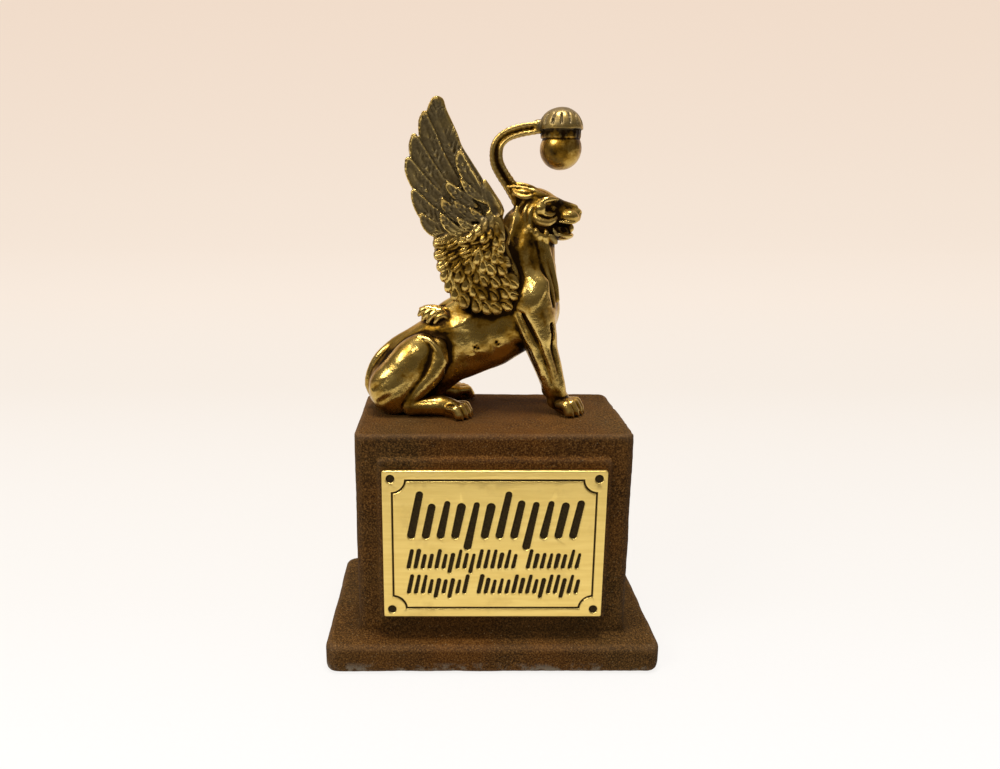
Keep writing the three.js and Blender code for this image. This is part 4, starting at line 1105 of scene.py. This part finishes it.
def make_griffin():
    casting = Casting((-26, -11, -1.2), (20, 11, 59), FIGURE_STEP)
    make_body(casting)
    make_tail(casting)
    soil_and_shade = make_wings(casting)
    make_head(casting)
    make_bracket(casting)
    make_lamp(casting)
    make_pits(casting)
    roughen(casting, FIGURE_LUMPS)
    casting.depths = np.maximum(casting.depths, -SUNK - casting.everywhere()[2])
    piece = surface_piece("griffin_casting", casting, FIGURE_TRIANGLES)
    points = points_of(piece)
    store_blurs(piece, points, casting, FIGURE_BLURS, 2)
    store(piece, "patina", patina_at(points))
    # Dirt, painted shade and a painted highlight, for the material to darken or brighten the brass with.
    store(piece, "grime_shade_and_sheen", grime_shade_and_sheen_at(points) + wing_soil_and_shade(soil_and_shade, casting, points))
    piece.data.transform(Matrix.Translation(FIGURE_ORIGIN) @ Matrix.Scale(UNIT, 4))
    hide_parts("griffin")
    return piece


# Plinth and nameplate, in millimetres

def slab(low, high, corner, edge, upright=False):
    """A block with rounded upright corners and eased horizontal edges; an upright one has its
    rounded corners in front view instead."""
    low, high = np.array(low, float), np.array(high, float)
    middle, half = (low + high) / 2, (high - low) / 2
    across = 1 if upright else 2

    def depth(x, y, z):
        d = [np.abs(p - m) - h for p, m, h in zip((x, y, z), middle, half)]
        ends = d.pop(across) + edge
        a, b = d[0] + corner, d[1] + corner
        outline = np.minimum(np.maximum(a, b), 0) + np.hypot(np.maximum(a, 0), np.maximum(b, 0))
        outline = outline - corner + edge
        inner = np.minimum(np.maximum(outline, ends), 0)
        return inner + np.hypot(np.maximum(outline, 0), np.maximum(ends, 0)) - edge

    return [SimpleNamespace(low=low, high=high, depth=depth)]


PLINTH_STEP = 0.3
PLINTH_TRIANGLES = 170000
PLINTH_TOP = 45
PLINTH_LUMPS = ((0.09, 5.0), (0.04, 0.9))
# How far the blurred values reach; the material paints shade on the stone with the shade one.
PLINTH_BLURS = {"crevice": 1.2, "shade": 6.0}
FLANGE_TOP = 5.5
FLANGE_CORNER = 2.4
BODY_X = 25.0
BODY_Y = 14.6
PANEL_X = 20.9
PANEL_BOTTOM = 9.6
PANEL_TOP = 40.9
# Chips in the stone: x, y and z, and how far each reaches that way.
CHIPS = (
    (0.6, -14.5, 45.1, 1.3, 0.5, 0.5), (2.0, -14.7, 44.8, 0.7, 0.4, 0.45),
    (-0.9, -14.8, 44.9, 0.5, 0.35, 0.4), (24.9, -12.0, 45.0, 0.5, 0.8, 0.35),
    (-25.0, -14.6, 38.5, 0.35, 0.35, 0.9), (-25.1, -14.6, 34.2, 0.3, 0.3, 0.7),
    (-29.5, -18.6, 0.4, 1.6, 0.5, 0.9), (-16.0, -18.6, 0.3, 2.2, 0.4, 0.8),
    (-15.5, -18.5, 1.0, 0.7, 0.4, 0.5), (9.0, -18.6, 0.2, 1.8, 0.4, 0.6),
    (30.9, -15.5, 0.4, 0.5, 1.7, 0.8), (24.0, -18.5, 5.3, 0.9, 0.5, 0.3),
    (-6.0, -18.4, 5.4, 1.0, 0.5, 0.25), (-24.0, 14.4, 45.0, 0.9, 0.5, 0.4),
    (12.0, 14.6, 45.1, 1.1, 0.4, 0.4), (25.0, 4.0, 45.0, 0.4, 1.0, 0.4),
    (10.0, 18.5, 0.4, 1.7, 0.4, 0.8),
)


def make_plinth():
    casting = Casting((-32.1, -19.5, -0.9), (32.1, 19.5, 46), PLINTH_STEP)
    flange_x, flange_y = plinth_high.x / MM, plinth_high.y / MM

    def block(half_x, half_y, bottom, top, corner, edge):
        return slab((-half_x, -half_y, bottom), (half_x, half_y, top), corner, edge)

    casting.join(block(flange_x, flange_y, 0, FLANGE_TOP, FLANGE_CORNER, 1.2), 0.1)
    casting.join(block(BODY_X, BODY_Y, 1, PLINTH_TOP, 2, 0.5), 1.6)
    panel_low, panel_high = (-PANEL_X, plate_high.y / MM, PANEL_BOTTOM), (PANEL_X, -12, PANEL_TOP)
    casting.join(slab(panel_low, panel_high, 0.9, 0.45, True), 0.5)
    for x, y, z, *radii in CHIPS:
        casting.cut(egg((x, y, z), radii), 0.3)
    roughen(casting, PLINTH_LUMPS)
    limits = block(flange_x, flange_y, 0, PLINTH_TOP, FLANGE_CORNER, 0.1)[0]
    casting.depths = np.maximum(casting.depths, limits.depth(*casting.everywhere()))
    piece = surface_piece("plinth_stone_block", casting, PLINTH_TRIANGLES)
    store_blurs(piece, points_of(piece), casting, PLINTH_BLURS, 1)
    piece.data.transform(Matrix.Scale(MM, 4))
    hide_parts("plinth")
    return piece


PLATE_STEP = 0.1
PLATE_TRIANGLES = 120000
ENGRAVING = 0.22
BORDER_INSET = 1.6
BORDER_LINE = 0.36
BORDER_SCOOP = 2.4
DOT_INSET = 1.5
DOT_RADIUS = 0.78
# Rows of slanted strokes in groups: baseline and height measured from the plate's middle, how
# thick the strokes are, the gap between them, and the number of strokes in each group.
STROKE_ROWS = (
    (2.1, 5.4, 1.45, 2.62, (12,)),
    (-4.2, 2.2, 0.76, 1.28, (16, 8)),
    (-9.2, 2.2, 0.76, 1.28, (9, 15)),
)
ROW_LEFT = -15.9
ROW_RIGHT = 15.9
SLANT = 0.2


def stroke_lines():
    """The engraved strokes: x and z of both ends, and the half width at each."""
    hand = np.random.default_rng(SEED)
    lines = []
    for base, height, thick, gap, groups in STROKE_ROWS:
        space = 1.1 * gap
        total = sum(groups) * gap + space * (len(groups) - 1)
        scale = (ROW_RIGHT - ROW_LEFT) / total
        x = ROW_LEFT + 0.4 * gap
        for group in groups:
            for stroke in range(group):
                kind = hand.integers(0, 5)
                top = height * (1.42 if stroke == 0 or kind == 4 else 0.98 + 0.04 * kind)
                foot = -height * (0.42 if kind == 2 and 0 < stroke < group - 1 else 0.02)
                lines.append((x + SLANT * foot, base + foot, x + SLANT * top, base + top,
                              thick * 0.5, thick * hand.uniform(0.34, 0.56)))
                x += gap * scale * (1.0 if stroke < group - 1 else 0)
            x += gap * scale + space * scale
    return lines


def engraving(x, z, width, height):
    """Distance to the engraved border, dots and strokes over the plate's front, below zero inside
    them; x and z are measured from its middle."""
    a, b = np.abs(x) - width / 2 + BORDER_INSET, np.abs(z) - height / 2 + BORDER_INSET
    border = np.maximum(np.maximum(a, b), BORDER_SCOOP - np.hypot(a, b))
    found = np.abs(border + BORDER_LINE / 2) - BORDER_LINE / 2
    a, b = np.abs(x) - width / 2 + DOT_INSET, np.abs(z) - height / 2 + DOT_INSET
    found = np.minimum(found, np.hypot(a, b) - DOT_RADIUS)
    for x0, z0, x1, z1, r0, r1 in stroke_lines():
        t, gap = to_line(x, z, x0, z0, x1, z1)
        found = np.minimum(found, gap - (r0 + (r1 - r0) * t))
    return found


def make_nameplate():
    low, high = np.array(plate_low) / MM, np.array(plate_high) / MM
    casting = Casting(low - 3 * PLATE_STEP, high + 3 * PLATE_STEP, PLATE_STEP)
    casting.join(slab(low, high, 0.35, 0.12, True), 0.05)
    middle = (low + high) / 2
    x = casting.along(0)[:, None] - middle[0]
    z = casting.along(2)[None, :] - middle[2]
    lines = engraving(x, z, *(high - low)[[0, 2]])
    sunk = ENGRAVING * np.clip(0.5 - lines / 0.14, 0, 1)
    y = casting.along(1)[None, :, None]
    casting.depths = np.maximum(casting.depths, (low[1] + sunk[:, None, :] - y).astype(np.float32))
    piece = surface_piece("nameplate_engraved", casting, PLATE_TRIANGLES)
    points = points_of(piece)
    place = (points[:, [0, 2]] - casting.low[[0, 2]]) / casting.step
    cell = np.clip(np.round(place).astype(int), 0, np.array(lines.shape) - 1)
    front = points[:, 1] < low[1] + ENGRAVING + 0.1
    store(piece, "ink", np.where(front, np.clip(0.5 - lines[tuple(cell.T)] / 0.1, 0, 1), 0))
    piece.data.transform(Matrix.Scale(MM, 4))
    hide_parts("nameplate")
    return piece


# Materials

class Shader:
    """The nodes of a material or a world, added by short calls. An input is a value or an output."""

    def __init__(self, owner, surface="Principled BSDF", place="Object"):
        owner.use_nodes = True
        self.owner = owner
        self.tree = owner.node_tree
        self.surface = self.tree.nodes[surface]
        self.place = self.add("ShaderNodeTexCoord").outputs[place]

    def add(self, kind, inputs=None, **settings):
        node = self.tree.nodes.new(kind)
        for key, value in settings.items():
            setattr(node, key, value)
        for key, value in (inputs or {}).items():
            self.set(node.inputs[key], value)
        return node

    def set(self, socket, value):
        if isinstance(value, bpy.types.NodeSocket):
            self.tree.links.new(value, socket)
        elif socket.type == "RGBA" and len(value) == 3:
            socket.default_value = (*value, 1)
        else:
            socket.default_value = value

    def dress(self, **inputs):
        """Sets the surface's own inputs, named with an underline for each space."""
        for key, value in inputs.items():
            self.set(self.surface.inputs[key.replace("_", " ")], value)

    def attribute(self, name):
        return self.add("ShaderNodeAttribute", attribute_name=name).outputs["Fac"]

    def noise(self, scale, detail=3.0, roughness=0.55, place=None):
        inputs = {"Vector": place or self.place, "Scale": scale, "Detail": detail, "Roughness": roughness}
        return self.add("ShaderNodeTexNoise", inputs).outputs["Fac"]

    def cells(self, scale):
        inputs = {"Vector": self.place, "Scale": scale}
        return self.add("ShaderNodeTexVoronoi", inputs).outputs["Distance"]

    def split(self):
        """The x, y and z of the place."""
        return self.add("ShaderNodeSeparateXYZ", {0: self.place}).outputs

    def stretch(self, x, y, z):
        inputs = {"Vector": self.place, "Scale": (x, y, z)}
        return self.add("ShaderNodeMapping", inputs).outputs["Vector"]

    def span(self, value, low, high, to_low=0.0, to_high=1.0):
        inputs = {0: value, 1: low, 2: high, 3: to_low, 4: to_high}
        return self.add("ShaderNodeMapRange", inputs, clamp=True).outputs[0]

    def maths(self, operation, *values):
        """One sum, product or maximum of all the values, taken from left to right."""
        made = values[0]
        for value in values[1:]:
            made = self.add("ShaderNodeMath", {0: made, 1: value}, operation=operation).outputs[0]
        return made

    def mix(self, share, a, b):
        inputs = {0: share, 6: a, 7: b}
        return self.add("ShaderNodeMix", inputs, data_type="RGBA").outputs[2]

    def bump(self, height, distance, strength=1.0, normal=None):
        inputs = {"Height": height, "Distance": distance, "Strength": strength}
        if normal:
            inputs["Normal"] = normal
        return self.add("ShaderNodeBump", inputs).outputs["Normal"]


def brass_material():
    s = Shader(bpy.data.materials.new("antiqued_brass"))
    crevice, hollow, shade = s.attribute("crevice"), s.attribute("hollow"), s.attribute("shade")
    cloud = s.noise(230, 4, 0.6)
    fine = s.noise(2200, 3, 0.65)
    # How dark and rough the brass is: patina in narrow crevices, painted shade in wider hollows and deep
    # places (hollow, shade), mottled tone, and the spots of grime, painted shade and painted highlight.
    dirt_and_shade = s.maths(
        "ADD",
        s.span(crevice, 0.51, 0.64),
        s.span(hollow, 0.5, 0.68),
        s.span(shade, 0.46, 0.72, 0.0, 0.75),
        s.span(cloud, 0.36, 0.7, -0.28, 0.75),
        s.span(fine, 0.3, 0.7, -0.12, 0.12),
        s.attribute("grime_shade_and_sheen"),
    )
    dirt_and_shade = s.span(dirt_and_shade, -0.05, 1.1)
    worn = s.span(crevice, 0.46, 0.32)
    polished = s.mix(s.span(s.noise(140, 2), 0.4, 0.65), (0.66, 0.455, 0.130), (0.48, 0.305, 0.068))
    metal = s.mix(s.span(dirt_and_shade, 0.0, 0.55), polished, (0.26, 0.13, 0.012))
    # Near black where dirt and painted shade are deepest.
    colour = s.mix(s.span(dirt_and_shade, 0.45, 1.0), metal, (0.020, 0.009, 0.002))
    brown = s.mix(s.span(fine, 0.35, 0.7), (0.092, 0.063, 0.024), (0.165, 0.118, 0.047))
    unworn = s.span(worn, 0.25, 0.9, 1.0, 0.0)
    matte = s.maths("MULTIPLY", s.attribute("patina"), unworn, s.span(cloud, 0.2, 0.5, 0.8, 1.0))
    colour = s.mix(matte, colour, brown)
    colour = s.mix(s.maths("MULTIPLY", worn, 0.42), colour, (0.82, 0.58, 0.19))
    rough = s.span(dirt_and_shade, 0.0, 1.0, 0.2, 0.5)
    rough = s.maths("MAXIMUM", rough, s.maths("MULTIPLY", matte, 0.5))
    skin = s.bump(s.noise(1500, 3), 0.00005)
    skin = s.bump(s.noise(420, 3), 0.0002, 0.45, skin)
    s.dress(Base_Color=colour, Roughness=rough, Normal=skin, Metallic=s.span(matte, 0.0, 1.0, 1.0, 0.7))
    return s.owner


def stone_material():
    s = Shader(bpy.data.materials.new("cast_stone"))
    grain = s.noise(3400, 3, 0.7)
    mottle = s.noise(170, 4, 0.6)
    broad = s.noise(46, 2)
    red = s.mix(s.span(mottle, 0.35, 0.65), (0.082, 0.029, 0.003), (0.050, 0.018, 0.002))
    grey = s.mix(s.span(mottle, 0.35, 0.65), (0.058, 0.029, 0.007), (0.040, 0.020, 0.004))
    across, _, up = s.split()
    sides = s.span(s.add("ShaderNodeMath", {0: across}, operation="ABSOLUTE").outputs[0], 0.012, 0.027)
    greyed = s.maths("ADD", sides, s.span(broad, 0.42, 0.66, -0.2, 0.8))
    colour = s.mix(s.span(greyed, 0.1, 1.1), red, grey)
    colour = s.mix(s.span(grain, 0.5, 0.68, 0.0, 0.9), colour, (0.17, 0.078, 0.02))
    colour = s.mix(s.span(grain, 0.5, 0.34, 0.0, 0.9), colour, (0.010, 0.004, 0.001))
    # Painted shade: darker where much of the space around is stone, below the panel and on the flange by the
    # block's foot.
    colour = s.mix(s.span(s.attribute("shade"), 0.52, 0.76, 0.0, 0.8), colour, (0.010, 0.005, 0.001))
    edges = s.span(s.attribute("crevice"), 0.44, 0.3)
    colour = s.mix(s.maths("MULTIPLY", edges, 0.35), colour, (0.12, 0.07, 0.035))
    specks = s.maths("MULTIPLY", s.span(s.cells(1500), 0.2, 0.1), s.span(s.noise(600, 2), 0.5, 0.6))
    colour = s.mix(s.maths("MULTIPLY", specks, 0.6), colour, (0.22, 0.15, 0.07))
    scuffs = s.maths("MULTIPLY", s.span(up, 0.0024, 0.0004), s.span(s.noise(330, 4, 0.7), 0.5, 0.62))
    colour = s.mix(scuffs, colour, (0.18, 0.15, 0.11))
    skin = s.bump(grain, 0.00012)
    skin = s.bump(s.noise(1100, 3, 0.6), 0.0002, 0.7, skin)
    rough = s.span(grain, 0.3, 0.7, 0.72, 0.92)
    s.dress(Base_Color=colour, Roughness=rough, Normal=skin, Specular_IOR_Level=0.06)
    return s.owner


def plate_material():
    s = Shader(bpy.data.materials.new("satin_brass"))
    streaks = s.noise(420, 3, 0.6, s.stretch(0.25, 1, 3))
    stain = s.noise(120, 4, 0.65)
    colour = s.mix(s.span(streaks, 0.35, 0.65), (0.89, 0.645, 0.200), (0.83, 0.585, 0.165))
    colour = s.mix(s.span(stain, 0.56, 0.78, 0.0, 0.5), colour, (0.55, 0.36, 0.10))
    ink = s.span(s.attribute("ink"), 0.25, 0.75)
    dark = s.mix(s.span(s.noise(2500, 2), 0.4, 0.6), (0.022, 0.013, 0.003), (0.034, 0.021, 0.005))
    colour = s.mix(ink, colour, dark)
    rough = s.span(streaks, 0.3, 0.7, 0.3, 0.4)
    rough = s.maths("MAXIMUM", rough, s.maths("MULTIPLY", ink, 0.75))
    s.dress(Base_Color=colour, Roughness=rough, Metallic=s.span(ink, 0.0, 1.0, 1.0, 0.2))
    skin = s.bump(s.noise(3000, 2, 0.5, s.stretch(0.2, 1, 4)), 0.00002)
    s.dress(Normal=skin, Specular_IOR_Level=0.12)
    return s.owner


# The studio, in metres

# The paper's colours, which it also gives off as painted light, each with how far along the paper it is.
PAPER = (
    (0.0, (0.88, 0.87, 0.86)),
    (0.06, (0.85, 0.82, 0.785)),
    (0.25, (0.815, 0.745, 0.675)),
    (0.53, (0.85, 0.75, 0.66)),
    (1.35, (0.861, 0.737, 0.63)),
    (2.2, (0.845, 0.69, 0.57)),
)
PAPER_START = 0.05
PAPER_LENGTH = 3.0
PAPER_GLOW = 1.0
PAPER_SHADE = 0.92
FLOOR_FRONT = -0.17
FLOOR_BACK = 0.9
BEND_RADIUS = 0.8
WALL_TOP = 3.2
HALF_WIDTH = 3.0


def backdrop_material():
    s = Shader(bpy.data.materials.new("paper"))
    _, back, up = s.split()
    way = s.span(s.maths("ADD", back, up), -PAPER_START, PAPER_LENGTH - PAPER_START)
    ramp = s.add("ShaderNodeValToRGB", {0: way})
    # A new ramp has two stops already.
    for at, colour in PAPER[2:]:
        ramp.color_ramp.elements.new(at / PAPER_LENGTH)
    for stop, (at, colour) in zip(ramp.color_ramp.elements, PAPER):
        stop.position = at / PAPER_LENGTH
        stop.color = (*colour, 1)
    fibre = s.span(s.noise(900, 2), 0.3, 0.7, 0.0, 0.02)
    colour = s.mix(fibre, ramp.outputs[0], (0.7, 0.62, 0.55))
    s.dress(Base_Color=s.mix(PAPER_SHADE, colour, (0, 0, 0)), Roughness=0.95, Specular_IOR_Level=0.1)
    # Painted light: the paper glows in its own colours, whiter at the front and warmer up the wall, without
    # lamps.
    s.dress(Emission_Color=colour, Emission_Strength=PAPER_GLOW)
    return s.owner


def make_backdrop():
    """A floor that curves up into a wall behind the object."""
    profile = [(FLOOR_FRONT, 0.0), (FLOOR_BACK, 0.0)]
    for degrees in range(6, 91, 6):
        turn = math.radians(degrees)
        profile.append((FLOOR_BACK + BEND_RADIUS * math.sin(turn), BEND_RADIUS * (1 - math.cos(turn))))
    profile.append((FLOOR_BACK + BEND_RADIUS, WALL_TOP))
    points = [(x, y, z) for y, z in profile for x in (-HALF_WIDTH, HALF_WIDTH)]
    faces = [(i, i + 1, i + 3, i + 2) for i in range(0, len(points) - 2, 2)]
    backdrop = make_mesh("backdrop", np.array(points), np.array(faces))
    make_smooth(backdrop)
    backdrop.data.materials.append(backdrop_material())


# The lights, which all face one point: place, width and height, and power.
LIGHTS = {
    "side": ((-0.40, -0.30, 0.43), (0.24, 0.26), 2.0),
    "overhead": ((0.0, -0.06, 0.95), (0.36, 0.26), 11.0),
    "front": ((-0.12, -0.56, 0.50), (0.08, 0.08), 0.6),
}
LIGHTS_FACE = Vector((0, 0, 0.07))


def area_light(name, place, size, power):
    light = bpy.data.lights.new(name, "AREA")
    light.shape = "RECTANGLE"
    light.size, light.size_y = size
    light.energy = power
    lamp = bpy.data.objects.new(name, light)
    lamp.location = place
    lamp.rotation_euler = (LIGHTS_FACE - Vector(place)).to_track_quat("-Z", "Y").to_euler()
    bpy.context.scene.collection.objects.link(lamp)


ROOM_SIDES = (0.12, 0.105, 0.085)
ROOM_ABOVE = (0.32, 0.30, 0.27)


def make_world():
    """A dim room that is a little lighter overhead."""
    world = bpy.data.worlds.new("studio")
    s = Shader(world, "Background", "Generated")
    s.dress(Color=s.mix(s.span(s.split()[2], 0.1, 0.8), ROOM_SIDES, ROOM_ABOVE))
    bpy.context.scene.world = world


# The camera fitted to the photograph.
CAMERA_PLACE = (-0.0086, -0.1468, 0.0872)
CAMERA_TILT = math.radians(76)
CAMERA_LENS = 28.296
CAMERA_SHIFT = 0.054


def make_camera():
    camera = bpy.data.cameras.new("camera")
    camera.sensor_width = 36
    camera.lens = CAMERA_LENS
    camera.shift_x = CAMERA_SHIFT
    viewer = bpy.data.objects.new("camera", camera)
    viewer.location = CAMERA_PLACE
    viewer.rotation_euler = (CAMERA_TILT, 0, 0)
    bpy.context.scene.collection.objects.link(viewer)
    bpy.context.scene.camera = viewer


def make_studio():
    bpy.context.scene.view_settings.view_transform = "Standard"
    make_backdrop()
    make_world()
    for name, (place, size, power) in LIGHTS.items():
        area_light(name, place, size, power)
    make_camera()


for piece, material in (
    (make_griffin(), brass_material()),
    (make_plinth(), stone_material()),
    (make_nameplate(), plate_material()),
):
    piece.data.materials.append(material)
    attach(piece, "root")
make_studio()
